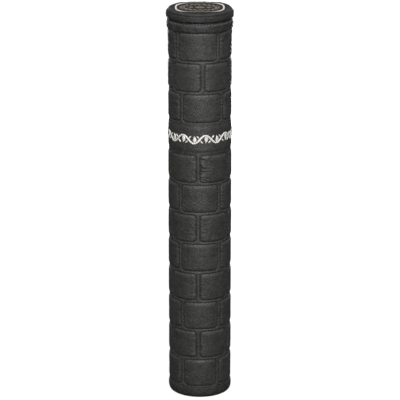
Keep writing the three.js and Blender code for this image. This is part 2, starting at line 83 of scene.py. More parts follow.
FIT_GAP = 0.3
PLAQUE_SIDE_GAP = 0.4
PLAQUE_END_GAP = 0.2
PLAQUE_HALF_WIDTH = RIM["radius"] - PLAQUE_SIDE_GAP
PLAQUE_HALF_DEPTH = RIM["depth"] - PLAQUE_END_GAP
PLAQUE_EXPONENT = 3.0
CROWN = BAND["radius"]
PUFF = 0.9
SEAM = CROWN - PUFF
COVER_INNER = PADDING["radius"] + FIT_GAP
BAND_MIDDLE = (BAND["bottom"] + BAND["top"]) / 2
HALF_ROUND = math.pi * SEAM
ROUND = 2 * HALF_ROUND

# Quilting, as in the frame: rows from the bottom up, joints in degrees from the front
ROW_PITCH = 36.92
STRIP = 3.6
JOINT = 4.4
CORNER = 4.6
LOWER_ROWS = [
    [-108, -34.4, 36.4, 107, 180],
    [-122, -62, -3, 60, 120, 180],
    [-108, -35.4, 39.4, 108, 180],
    [-122, -62, -3, 60, 120, 180],
    [-110, -39.9, 39.2, 109, 180],
    [-121, -62, -3.5, 61, 120, 180],
    [-110, -39.9, 39.2, 109, 180],
    [-122, -63, -3, 62, 121, 180],
]
UPPER_ROWS = [
    [-108, -36.1, 45.3, 112, 180],
    [-119, -57, 5.5, 66, 122, 180],
    [-112, -45.2, 36.2, 108, 180],
]
STITCH_PITCH = 4.1
STITCH_LENGTH = 3.1
THREAD = 0.75


def link_object(name, data):
    """A new object in the scene"""
    made = bpy.data.objects.new(name, data)
    bpy.context.scene.collection.objects.link(made)
    return made


# Camera: fitted to the photograph's outline, 400 by 400 pixels
CAMERA_SIDE = 0.00023
CAMERA_DISTANCE = 2.433
CAMERA_HEIGHT = 0.997
CAMERA_PITCH = 17.25
CAMERA_SIGHT = 50
FOCAL_PIXELS = 2112
FRAME_PIXELS = 400
SENSOR = 36


def add_camera():
    data = bpy.data.cameras.new("camera")
    data.sensor_width = SENSOR
    data.lens = FOCAL_PIXELS / FRAME_PIXELS * SENSOR
    data.clip_end = CAMERA_SIGHT
    camera = link_object("camera", data)
    camera.location = (CAMERA_SIDE, -CAMERA_DISTANCE, CAMERA_HEIGHT)
    camera.rotation_euler = (math.radians(90 - CAMERA_PITCH), 0, 0)
    bpy.context.scene.camera = camera


add_camera()


# Materials
def linear(hex_code):
    """sRGB hex to a linear colour with alpha"""
    parts = [int(hex_code[k:k + 2], 16) / 255 for k in (1, 3, 5)]
    return [c / 12.92 if c <= 0.04045 else ((c + 0.055) / 1.055) ** 2.4 for c in parts] + [1]


def per_metre(size):
    """Texture scale that gives a pattern of this size in millimetres"""
    return 1 / (size * MM)


def add_node(tree, kind, inputs=None, stops=(), **settings):
    """A node with its settings, its colour stops as (position, hex colour) pairs, and its inputs
    set to values or linked. A node given as an input stands for its first output"""
    node = tree.nodes.new(kind)
    for key, value in settings.items():
        setattr(node, key, value)
    for key, value in (inputs or {}).items():
        source = value.outputs[0] if isinstance(value, bpy.types.Node) else value
        if isinstance(source, bpy.types.NodeSocket):
            tree.links.new(source, node.inputs[key])
        else:
            node.inputs[key].default_value = source
    if stops:
        elements = node.color_ramp.elements
        while len(elements) < len(stops):
            elements.new(0.5)
        for element, (position, hex_code) in zip(elements, stops):
            element.position = position
            element.color = linear(hex_code)
    return node


def start_material(name):
    """An empty node material, and the Object coordinates that its patterns follow"""
    material = bpy.data.materials.new(name)
    material.use_nodes = True
    tree = material.node_tree
    tree.nodes.clear()
    return material, tree, add_node(tree, "ShaderNodeTexCoord").outputs["Object"]


def finish_material(material, looks):
    """The material with a surface of these looks"""
    shader = add_node(material.node_tree, "ShaderNodeBsdfPrincipled", looks)
    add_node(material.node_tree, "ShaderNodeOutputMaterial", {"Surface": shader})
    return material


def pebbled_leather(name, dark, body, worn, roughness, shine=0.5, painted_light=False):
    """Drum-dyed cowhide with an embossed pebble: small domes painted paler, with painted shade in
    the creases between them, and a soft sheen that breaks up over the grain. Where the piece has
    its painted light attribute, its stitched lines get painted shade and its folds a painted
    highlight"""
    material, tree, place = start_material(name)
    warp = add_node(tree, "ShaderNodeTexNoise", {"Vector": place, "Scale": per_metre(2.5),
                    "Detail": 2})
    push = add_node(tree, "ShaderNodeVectorMath", {0: warp.outputs["Color"], 1: (MM, MM, MM)},
                    operation="MULTIPLY")
    bent = add_node(tree, "ShaderNodeVectorMath", {0: place, 1: push}, operation="ADD")
    pebble = add_node(tree, "ShaderNodeTexVoronoi", {"Vector": bent, "Scale": per_metre(1.7)},
                      feature="SMOOTH_F1")
    crease, pores, clouds = [
        add_node(tree, "ShaderNodeTexNoise", {"Vector": place, "Scale": per_metre(size),
                 "Detail": detail, "Roughness": 0.6, "Distortion": twist})
        for size, detail, twist in ((3.4, 6, 0.6), (0.5, 3, 0), (9, 6, 0))]
    tone = add_node(tree, "ShaderNodeValToRGB", {"Fac": clouds},
                    [(0.25, dark), (0.5, body), (0.8, worn)])
    # Painted shade: the creases between the pebbles are painted darker and the domes paler
    pebble_painted_shade = add_node(tree, "ShaderNodeMapRange", {"Value": pebble, "From Min": 0.1,
                    "From Max": 0.6, "To Min": 1.12, "To Max": 0.68})
    colour = add_node(tree, "ShaderNodeVectorMath", {0: tone, "Scale": pebble_painted_shade}, operation="SCALE")
    # Painted light and shade from the piece's attribute: darker along its stitching, paler on its
    # folds and rolls
    if painted_light:
        painted_light_and_shade = add_node(tree, "ShaderNodeAttribute", attribute_name="painted_light_and_shade")
        fade = add_node(tree, "ShaderNodeMapRange", {"Value": painted_light_and_shade.outputs["Fac"],
                        "From Min": -1, "To Min": 0.4, "To Max": 1.6})
        colour = add_node(tree, "ShaderNodeVectorMath", {0: colour, "Scale": fade},
                          operation="SCALE")
    gloss = add_node(tree, "ShaderNodeMapRange", {"Value": crease, "From Min": 0.3,
                     "From Max": 0.7, "To Min": roughness + 0.1, "To Max": roughness - 0.1})
    looks = {}
    for height, strength, depth, sunk in ((crease, 0.6, 0.6, False), (pebble, 0.7, 0.5, True),
                                          (pores, 0.4, 0.12, False)):
        bump = add_node(tree, "ShaderNodeBump", {"Height": height, "Strength": strength,
                        "Distance": depth * MM, **looks}, invert=sunk)
        looks = {"Normal": bump}
    return finish_material(material, {"Base Color": colour, "Roughness": gloss,
                                      "IOR": LEATHER_IOR, "Specular IOR Level": shine, **looks})


def one_grain(name, size, detail, rough, stops, relief, looks, gloss=None):
    """A material in which one grain, of this size in millimetres, sets the tone, the relief (its
    strength and its depth in millimetres) and how matt the hollows and the high spots are"""
    material, tree, place = start_material(name)
    grain = add_node(tree, "ShaderNodeTexNoise", {"Vector": place, "Scale": per_metre(size),
                     "Detail": detail, "Roughness": rough})
    looks = dict(looks)
    if stops:
        looks["Base Color"] = add_node(tree, "ShaderNodeValToRGB", {"Fac": grain}, stops)
    if relief:
        looks["Normal"] = add_node(tree, "ShaderNodeBump", {"Height": grain,
                                   "Strength": relief[0], "Distance": relief[1] * MM})
    if gloss:
        looks["Roughness"] = add_node(tree, "ShaderNodeMapRange", {"Value": grain,
                                      "To Min": gloss[0], "To Max": gloss[1]})
    return finish_material(material, looks)


def bonded_thread(name, hex_code):
    """Bonded polyester thread: a tight twist with a low sheen"""
    return one_grain(name, 0.4, 2, 0.5, None, (0.5, 0.15),
                     {"Base Color": linear(hex_code), "Roughness": 0.5})


def darkened_zinc(name, dark, bright, roughness):
    """Patinated zinc: brown-black in the hollows, worn paler where it stands up"""
    return one_grain(name, 2.2, 6, 0.65, [(0.35, dark), (0.7, bright)], (0.3, 0.12),
                     {"Metallic": 0.2, "Roughness": roughness, "Specular IOR Level": 0.2})


def pressed_fibres(name, dark, light):
    """Fibres pressed to a board or a wad: matt, with pale strands in a darker body"""
    return one_grain(name, 1.2, 8, 0.75, [(0.3, dark), (0.7, light)], (0.3, 0.1),
                     {"Roughness": 0.92})


def silvered_rim(name, painted_shade_grey, dull, bright):
    """Silver plate with a satin polish, and a painted reflection in its colour: bright at the
    oval's two ends, and painted shade, a darker grey, along its straight runs"""
    material, tree, place = start_material(name)
    haze = add_node(tree, "ShaderNodeTexNoise", {"Vector": place, "Scale": per_metre(3),
                    "Detail": 6, "Roughness": 0.7})
    parts = add_node(tree, "ShaderNodeSeparateXYZ", {"Vector": place})
    across = add_node(tree, "ShaderNodeMath", {0: parts.outputs["X"]}, operation="ABSOLUTE")
    # Painted reflection: the colour is painted brighter towards the oval's two ends
    painted_light = add_node(tree, "ShaderNodeMapRange", {"Value": across, "From Min": 13 * MM,
                      "From Max": 26 * MM, "To Min": 0, "To Max": 0.8})
    share = add_node(tree, "ShaderNodeMath", {0: haze, 1: 0.3, 2: painted_light},
                     operation="MULTIPLY_ADD")
    tone = add_node(tree, "ShaderNodeValToRGB", {"Fac": share},
                    [(0.1, painted_shade_grey), (0.5, dull), (0.9, bright)])
    bump = add_node(tree, "ShaderNodeBump", {"Height": haze, "Strength": 0.12,
                    "Distance": 0.1 * MM})
    return finish_material(material, {"Base Color": tone, "Metallic": 0.4, "Roughness": 0.5,
                                      "Specular IOR Level": 0.25, "Normal": bump})


def flocked_lining(name, dark, light):
    """Flocked lining: a short dense pile with soft sheen, paler where it is brushed aside"""
    material, tree, place = start_material(name)
    nap, pile = [
        add_node(tree, "ShaderNodeTexNoise", {"Vector": place, "Scale": per_metre(size),
                 "Detail": 4, "Roughness": rough, "Distortion": twist})
        for size, rough, twist in ((11, 0.6, 0.8), (0.7, 0.7, 0))]
    mixed = add_node(tree, "ShaderNodeMath", {0: pile, 1: 0.6, 2: nap}, operation="MULTIPLY_ADD")
    tone = add_node(tree, "ShaderNodeValToRGB", {"Fac": mixed}, [(0.6, dark), (1.0, light)])
    bump = add_node(tree, "ShaderNodeBump", {"Height": pile, "Strength": 0.6,
                    "Distance": 0.35 * MM})
    return finish_material(material, {"Base Color": tone, "Roughness": 0.95,
                                      "Sheen Weight": 0.3, "Sheen Roughness": 0.4,
                                      "Normal": bump})


def twill_tape(name, dark, light, thread):
    """Twill tape: two sets of threads crossing, matt with a little fuzz. Each band is drawn as
    wide as several threads, because one alone is too fine to show"""
    material, tree, place = start_material(name)
    warp, weft = [
        add_node(tree, "ShaderNodeTexWave", {"Vector": place, "Scale": per_metre(thread) / 20,
                 "Distortion": 0.4, "Detail": 1}, bands_direction=way).outputs["Fac"]
        for way in ("X", "Z")]
    weave = add_node(tree, "ShaderNodeMath", {0: warp, 1: weft}, operation="MULTIPLY")
    tone = add_node(tree, "ShaderNodeValToRGB", {"Fac": weave}, [(0.1, dark), (0.8, light)])
    bump = add_node(tree, "ShaderNodeBump", {"Height": weave, "Strength": 0.5,
                    "Distance": 0.15 * MM})
    return finish_material(material, {"Base Color": tone, "Roughness": 0.92,
                                      "Sheen Weight": 0.25, "Normal": bump})


LEATHER_IOR = 1.42
LEATHER = pebbled_leather("black_quilted_cowhide", "#242423", "#2e2e2d", "#383837", 0.52,
                          painted_light=True)
EDGE_LEATHER = pebbled_leather("black_edge_leather", "#1d1d1c", "#262625", "#303030", 0.55,
                               shine=0.4)
# A darker copy of the quilted leather, for the lid and the foot: its darker tone is painted shade
LEATHER_PAINTED_DARKER = pebbled_leather("black_leather_painted_darker", "#20201f", "#2a2a29", "#343433", 0.62,
                              shine=0.3, painted_light=True)
BLACK_THREAD = bonded_thread("black_bonded_thread", "#191818")
# Pale grey bonded thread, paler than the leather
GREY_THREAD = bonded_thread("pale_grey_thread", "#6b6965")
# Silver-white rayon embroidery thread: bright satin that glints along each stitch
SILVER_THREAD = one_grain("silver_rayon_thread", 0.6, 3, 0.6,
                          [(0.3, "#a9a7a2"), (0.55, "#d2d0ca"), (0.8, "#ecebe6")], (0.4, 0.12),
                          {"Roughness": 0.38, "Metallic": 0.15, "Sheen Weight": 0.3})
# Satin silver plate, with a painted reflection at the oval's ends and painted shade along its runs
RIM_SILVER = silvered_rim("satin_silver_plate", "#57534d", "#9b958c", "#e2ded7")
DARK_ZINC = darkened_zinc("patinated_zinc_field", "#171412", "#26211e", 0.75)
RUBBED_ZINC = darkened_zinc("rubbed_zinc_relief", "#4f4a44", "#827c74", 0.7)
# Gunmetal-plated zinc die casting, tumbled to a satin: dull specks in an even grey gleam
GUNMETAL = one_grain("gunmetal_plated_zinc", 3, 6, 0.7, [(0.35, "#595856"), (0.6, "#807f7c")],
                     (0.12, 0.1), {"Metallic": 1.0}, gloss=(0.67, 0.47))
LINING = flocked_lining("flocked_lining", "#17181d", "#2b2c34")
ZIP_TAPE = twill_tape("twill_zip_tape", "#2c2c2d", "#424243", 0.5)
BOARD = pressed_fibres("laminated_board", "#7a6549", "#9b8361")
WADDING = pressed_fibres("polyester_wadding", "#c9c6bd", "#e4e2db")
# Extruded black nylon monofilament with a smooth gloss, painted a paler grey: painted light that
# lifts the shade in the slit
NYLON = one_grain("nylon_zip_coil_painted_paler", 0.9, 3, 0.5, [(0.35, "#48484a"), (0.7, "#5e5e60")], None,
                  {"Roughness": 0.35})


# Mesh tools
QUARTER = math.pi / 2


def around(angle, radius, z):
    """A point at an angle in radians from the front, at a radius and height in millimetres"""
    return Vector((radius * math.sin(angle), -radius * math.cos(angle), z)) * MM


def facing(angle):
    """The way out of the tube at an angle; a quarter turn further, it is the way along the round"""
    return Vector((math.sin(angle), -math.cos(angle), 0))


def place_of(v):
    """A point's angle from the front, with its radius and height in millimetres"""
    return math.atan2(v.co.x, -v.co.y), math.hypot(v.co.x, v.co.y) / MM, v.co.z / MM


def hump(distance, width):
    """A smooth hump: 1 at no distance, fading out over about this width"""
    return np.exp(-(distance / width) ** 2)


def ripple(place, size, seed=0.0):
    """Smooth noise from about -0.5 to 0.5 with features of this size in millimetres"""
    return noise.noise(place / size + Vector((seed, seed * 1.7, seed * 0.6)))


def new_mesh(name, bm):
    """A mesh with a bmesh's shape; the bmesh is freed"""
    mesh = bpy.data.meshes.new(name)
    bm.to_mesh(mesh)
    bm.free()
    return mesh


def make_piece(name, bm, material, body, slot, *replaced, smooth=True):
    """A piece of the case that rides on a body, and stands for the frame nodes named last"""
    mesh = new_mesh(name, bm)
    if smooth:
        mesh.polygons.foreach_set("use_smooth", [True] * len(mesh.polygons))
    mesh.materials.append(material)
    piece = link_object(name, mesh)
    if body:
        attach(piece, body)
    if replaced:
        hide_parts(*replaced)
    return piece


CORNER_REACH_SHARE = 0.45
MERGE = 0.005


def rounded(points, radii, arc=4):
    """An outline with each corner rounded by at most its own radius"""
    result = []
    for k, point in enumerate(points):
        here = Vector(point)
        if radii[k] <= 0:
            result.append(tuple(here))
            continue
        before = Vector(points[k - 1]) - here
        after = Vector(points[(k + 1) % len(points)]) - here
        reach = min(radii[k], before.length * CORNER_REACH_SHARE,
                    after.length * CORNER_REACH_SHARE)
        start = here + before.normalized() * reach
        end = here + after.normalized() * reach
        for s in range(arc + 1):
            t = s / arc
            result.append(tuple(start * (1 - t) ** 2 + here * 2 * t * (1 - t) + end * t ** 2))
    return result


def refined(profile, longest):
    """The same closed outline with no edge longer than this many millimetres"""
    result = []
    for point, nxt in zip(profile, profile[1:] + profile[:1]):
        parts = max(1, math.ceil(math.dist(point, nxt) / longest))
        for s in range(parts):
            t = s / parts
            result.append((point[0] * (1 - t) + nxt[0] * t, point[1] * (1 - t) + nxt[1] * t))
    return result


def turned(outline, radii, longest, steps, arc=4):
    """A ring turned from an outline of (radius, height) points in millimetres, or a disc where the
    outline starts and ends on the axis, with its corners rounded and its long edges divided"""
    profile = refined(rounded(outline, radii, arc) if radii else outline, longest)
    disc = outline[0][0] == 0
    while disc and profile[-2][0] < MERGE:
        profile.pop()
    bm = bmesh.new()
    verts = [bm.verts.new(around(0, r, z)) for r, z in profile]
    edges = [bm.edges.new((a, b)) for a, b in zip(verts, verts[1:])]
    if not disc:
        edges.append(bm.edges.new((verts[-1], verts[0])))
    bmesh.ops.spin(bm, geom=verts + edges, cent=(0, 0, 0), axis=(0, 0, 1), angle=TURN,
                   steps=steps, use_merge=True, use_duplicate=False)
    bmesh.ops.remove_doubles(bm, verts=bm.verts, dist=MERGE * MM)
    bmesh.ops.recalc_face_normals(bm, faces=bm.faces)
    return bm


def crumple(bm, amount, size, lowest=0):
    """Moves each point above a level a little along its normal, as hand-worked leather does"""
    bm.normal_update()
    for v in bm.verts:
        if v.co.z / MM >= lowest:
            v.co += v.normal * ripple(v.co / MM, size, 3.1) * amount * MM


def extruded(bm, edges):
    """Extrudes a loop of edges where it lies, and gives its new points and the new loop"""
    made = bmesh.ops.extrude_edge_only(bm, edges=edges)["geom"]
    fresh = [g for g in made if isinstance(g, bmesh.types.BMVert)]
    known = set(fresh)
    return fresh, [g for g in made if isinstance(g, bmesh.types.BMEdge)
                   and all(v in known for v in g.verts)]


def lofted(bm, rings, endless):
    """A tube through rings of points: endless, or closed by a face at each end"""
    verts = [bm.verts.new(p) for p in rings[0]]
    first = [bm.edges.new(pair) for pair in zip(verts, verts[1:] + verts[:1])]
    if not endless:
        bm.faces.new(verts)
    loop = first
    for ring in rings[1:]:
        fresh, loop = extruded(bm, loop)
        for v, p in zip(fresh, ring):
            v.co = p
    if endless:
        bmesh.ops.bridge_loops(bm, edges=first + loop)
    else:
        bmesh.ops.edgeloop_fill(bm, edges=loop)


def raised(bm, faces):
    """Extrudes faces where they lie, and gives their new points"""
    made = bmesh.ops.extrude_face_region(bm, geom=faces)["geom"]
    return [g for g in made if isinstance(g, bmesh.types.BMVert)]


def thread_bead():
    """A bead of thread one unit long, wide and high, lying along X"""
    bm = bmesh.new()
    bmesh.ops.create_uvsphere(bm, u_segments=8, v_segments=5, radius=0.5,
                              matrix=Matrix.Rotation(QUARTER, 4, "Y"))
    return new_mesh("thread_bead", bm)


BEAD = thread_bead()


def place_copy(bm, shape, matrix):
    """Adds a turned, scaled and placed copy of a small mesh"""
    copy = shape.copy()
    copy.transform(matrix)
    bm.from_mesh(copy)
    bpy.data.meshes.remove(copy)


def stitch(bm, place, along, outward, length=STITCH_LENGTH):
    """One stitch: a long bead of thread lying on the surface"""
    side = outward.cross(along).normalized()
    basis = Matrix((along.normalized(), side, outward.normalized())).transposed().to_4x4()
    size = Matrix.Diagonal((length * MM, THREAD * MM, THREAD * MM, 1))
    place_copy(bm, BEAD, Matrix.Translation(place) @ basis @ size)


# Quilted cover
def panel_bricks(rows, bottom):
    """Each brick of a panel as (left, right, low, high), in millimetres along the seam circle"""
    bricks = []
    for k, joints in enumerate(rows):
        low = bottom + k * ROW_PITCH
        for joint, nxt in zip(joints, joints[1:] + [joints[0] + 360]):
            left = math.radians(joint) * SEAM + JOINT / 2
            right = math.radians(nxt) * SEAM - JOINT / 2
            bricks.append((left, right, low + STRIP / 2, low + ROW_PITCH - STRIP / 2))
    return bricks


def inside_distance(along, up, brick):
    """How far inside a brick's rounded outline a place lies; negative outside"""
    left, right, low, high = brick
    across = np.abs(along - (left + right) / 2) - ((right - left) / 2 - CORNER)
    rise = np.abs(up - (low + high) / 2) - ((high - low) / 2 - CORNER)
    outer = np.hypot(np.maximum(across, 0), np.maximum(rise, 0))
    return CORNER - (outer + np.minimum(np.maximum(across, rise), 0))


def quilt_depth(along, up, rows, bottom):
    """The distance inside the nearest brick for every place of a panel"""
    depth = np.full(along.shape, -STRIP)
    for brick in panel_bricks(rows, bottom):
        for shift in (-ROUND, 0, ROUND):
            depth = np.maximum(depth, inside_distance(along + shift, up, brick))
    return depth


SLOPE = 5.0
SLOPE_POWER = 2.4
GROOVE_DEPTH = 0.78
GROOVE_WIDTH = 0.85
GROOVE_WAVE_SHARE = 0.2
STRIP_RISE = 0.25
STRIP_EDGE = 1.5


def smooth_puff(depth):
    """How high the padding lifts the leather, from its depth inside the stitched outline"""
    rise = np.clip(depth / SLOPE, 0, 1)
    return PUFF * (1 - (1 - rise) ** SLOPE_POWER)


def stitched_profile(depth, run):
    """The sunk stitch line, deepest at each needle hole, and the narrow strip between two lines"""
    pull = 1 - GROOVE_WAVE_SHARE + GROOVE_WAVE_SHARE * np.cos(run * TURN / STITCH_PITCH)
    groove = -GROOVE_DEPTH * pull * hump(depth, GROOVE_WIDTH)
    return groove + STRIP_RISE * (1 - hump(np.minimum(depth, 0), STRIP_EDGE))


def depth_of(along, up, rows, bottom, top):
    """Depth inside the stitching for places on a quilted sheet, or on a plain one"""
    if rows:
        return quilt_depth(along, up, rows, bottom - FIT_GAP / 2)
    across = HALF_ROUND - np.abs(along) - JOINT / 2
    return np.minimum(np.minimum(up - bottom, top - up) - STRIP / 2, across)


def wrapped_grid(bottom, top, cell):
    """A grid for a sheet that goes once round the tube, with each place's run and height"""
    bm = bmesh.new()
    bmesh.ops.create_grid(bm, x_segments=round(ROUND / cell),
                          y_segments=round((top - bottom) / cell), size=1)
    flat = np.array([v.co[:2] for v in bm.verts])
    along = flat[:, 0] * HALF_ROUND
    up = (bottom + top) / 2 + flat[:, 1] * (top - bottom) / 2
    return bm, along, up


SHEET_CELL = 2.0
SHEET_START_SHARE = 0.6
SHEET_UNEVEN = 0.25
SHEET_UNEVEN_SIZE = 5.0
HELD_DEPTH = 0.2
SIM_SCALE = 25
SIM_FRAMES = 14
SIM_SLACK = 0.05
SIM_PRESSURE = 6.0
STIFFNESS = {"tension_stiffness": 25, "compression_stiffness": 25, "shear_stiffness": 12,
             "bending_stiffness": 1.5}


def padded_sheet(name, bottom, top, rows, seed):
    """Cloth simulation of the cover: held along its stitching, pushed out by the padding, and cut
    a little too large, so that it puckers. Gives the lift at the grid's lines, in order"""
    bm, along, up = wrapped_grid(bottom, top, SHEET_CELL)
    depth = depth_of(along, up, rows, bottom, top)
    lift = smooth_puff(depth) * SHEET_START_SHARE
    for n, v in enumerate(bm.verts):
        uneven = SHEET_UNEVEN * ripple(Vector((along[n], up[n], seed)), SHEET_UNEVEN_SIZE)
        bump = uneven * min(max(depth[n], 0), 1)
        v.co = around(along[n] / SEAM, SEAM + lift[n] + bump, up[n]) * SIM_SCALE
    mesh = new_mesh(name, bm)
    sheet = link_object(name, mesh)
    held = sheet.vertex_groups.new(name="stitched")
    held.add([int(n) for n in np.flatnonzero(depth <= HELD_DEPTH)], 1.0, "REPLACE")
    cloth = sheet.modifiers.new("cloth", "CLOTH")
    settings = cloth.settings
    settings.quality = 5
    settings.mass = 0.4
    settings.air_damping = 3
    for key, value in STIFFNESS.items():
        setattr(settings, key, value)
    settings.shrink_min = -SIM_SLACK
    settings.use_pressure = True
    settings.uniform_pressure_force = SIM_PRESSURE
    settings.vertex_group_mass = held.name
    settings.effector_weights.gravity = 0
    cloth.collision_settings.use_collision = False
    cloth.point_cache.frame_start = 1
    cloth.point_cache.frame_end = SIM_FRAMES
    scene = bpy.context.scene
    for frame_number in range(1, SIM_FRAMES + 1):
        scene.frame_set(frame_number)
    settled = sheet.evaluated_get(bpy.context.evaluated_depsgraph_get()).to_mesh()
    places = np.empty(len(settled.vertices) * 3)
    settled.vertices.foreach_get("co", places)
    places = places.reshape(-1, 3) / SIM_SCALE / MM
    bpy.data.objects.remove(sheet)
    bpy.data.meshes.remove(mesh)
    scene.frame_set(1)
    order = np.lexsort((np.round(along, 3), np.round(up, 3)))
    columns = len(np.unique(np.round(along, 3)))
    swell = np.hypot(places[:, 0], places[:, 1]) - SEAM
    return swell[order].reshape(-1, columns)


FINE_SLACK = 0.08
FINE_SIZE = 3.4
BROAD_SLACK = 0.14
BROAD_SIZE = 9.0
PUCKER = 0.24
PUCKER_SIZE = 2.3
PUCKER_REACH = 3.2
PUCKER_STRETCH = 0.4
CREASE_EDGE = 1.0
FAN_SIZE = 2.4
FAN_SIZE_SLACKEST = 1.9
FAN_REACH = 9.0
FAN_REACH_SLACKEST = 14.0
FAN_USUAL = 0.4
FAN_VARIES = 1.2
FAN_MOST = 1.15
FAN_SLANT = 0.35
FAN_STRETCH = 0.2
FAN_WAVE = 5.0
FAN_LEFT_SHARE = 0.7
SLACKEST_JOINT = (7, -3)
NO_JOINT = 999.0


def curve_weights(share):
    """Weights of four neighbours for a smooth curve through the middle two"""
    return [(-share + 2 * share ** 2 - share ** 3) / 2, (2 - 5 * share ** 2 + 3 * share ** 3) / 2,
            (share + 4 * share ** 2 - 3 * share ** 3) / 2, (share ** 3 - share ** 2) / 2]


def read_grid(grid, column, line):
    """Values of a grid between its lines, by smooth curves both ways"""
    lines, columns = grid.shape
    left = np.clip(np.floor(column).astype(int), 0, columns - 2)
    low = np.clip(np.floor(line).astype(int), 0, lines - 2)
    result = np.zeros(column.shape)
    for k, line_weight in enumerate(curve_weights(line - low)):
        row = np.clip(low + k - 1, 0, lines - 1)
        for n, column_weight in enumerate(curve_weights(column - left)):
            spot = np.clip(left + n - 1, 0, columns - 1)
            result += line_weight * column_weight * grid[row, spot]
    return result


def wrinkles(along, up, depth, joints, slackness, seed):
    """Creases that fan out from the upright strips, short puckers along the level seams, and a
    little slack over the whole sheet"""
    result = np.zeros(along.shape)
    for n in range(len(along)):
        if depth[n] < -CREASE_EDGE:
            continue
        place = Vector((along[n], up[n], seed))
        total = FINE_SLACK * ripple(place, FINE_SIZE, 5.0)
        total += BROAD_SLACK * ripple(place, BROAD_SIZE, 2.0)
        near = joints[n]
        if abs(near) < 3 * FAN_REACH:
            side = 1 if near > 0 else -1
            wave = FAN_WAVE * ripple(place, FAN_REACH, 4.0)
            slant = Vector((up[n] + near * FAN_SLANT + wave, abs(near) * FAN_STRETCH, seed + side))
            slackest = slackness[n] == FAN_MOST
            reach = FAN_REACH_SLACKEST if slackest and side > 0 else FAN_REACH
            size = FAN_SIZE_SLACKEST if slackest else FAN_SIZE
            fan = ripple(slant, size, 7.0) * hump(near, reach)
            total += slackness[n] * fan * (1.0 if side > 0 else FAN_LEFT_SHARE)
        edge = math.exp(-max(depth[n], 0) / PUCKER_REACH)
        place = Vector((along[n], up[n] * PUCKER_STRETCH, seed))
        total += PUCKER * edge * ripple(place, PUCKER_SIZE, 9.0)
        result[n] = min(max(depth[n] + CREASE_EDGE, 0.0) / (2 * CREASE_EDGE), 1.0) * total
    return result


def joint_distance(along, up, rows, bottom):
    """Signed distance to the nearest upright strip in each place's row, and how creased it is"""
    result = np.full(along.shape, NO_JOINT)
    slackness = np.zeros(along.shape)
    row = np.clip(((up - bottom) / ROW_PITCH).astype(int), 0, max(len(rows) - 1, 0))
    for k, joints in enumerate(rows):
        inside = row == k
        for joint in joints:
            away = along[inside] - math.radians(joint) * SEAM
            away = (away + HALF_ROUND) % ROUND - HALF_ROUND
            nearest = np.abs(away) < np.abs(result[inside])
            varied = FAN_VARIES * noise.noise(Vector((joint * 0.37, k * 5.3, 1)))
            amount = FAN_USUAL * (1 + varied)
            if rows is LOWER_ROWS and (k, joint) == SLACKEST_JOINT:
                amount = FAN_MOST
            result[inside] = np.where(nearest, away, result[inside])
            slackness[inside] = np.where(nearest, amount, slackness[inside])
    return result, slackness


SLEEVE_CELL = 0.62
SLEEVE_MERGE = 0.01
SHEET_REACH = 0.14
SHEET_SHARE = 0.5
BULGE_USUAL = 1.1
BULGE_MOST = 1.45
BULGE_PERCENTILE = 80
BULGE_LEAST = 0.05
BAND_SLOPE = 4.0
BAND_LOOSE_SHARE = 0.5
BAND_SLACK_SHARE = 0.8
BAND_FLAT = 1.6
BAND_FADE = 8
BAND_SUNK = 0.1
FLARE = 0.55
FLARE_REACH = 9.0
BACK_SEAM_REACH = 3
BACK_SEAM_SHARE = 0.2
BACK_SEAM_DEPTH = 0.5
BACK_SEAM_WIDTH = 0.8
# The leather gets painted light: a painted highlight on its rolls and strips, and painted shade
# along its stitching. Each line is an amount, a depth inside the stitching and a width
PAINTED_LIGHT_LINES = [(0.4, 2.2, 1.6), (0.5, -1.8, 0.8), (-0.85, 0, 0.8)]
# Painted shading on the wrinkles: their raised parts are painted paler, their sunk parts darker
PAINTED_CREASE_SHADING = 1.3
PAINTED_BAND_CREASE_SHADING = 1.2


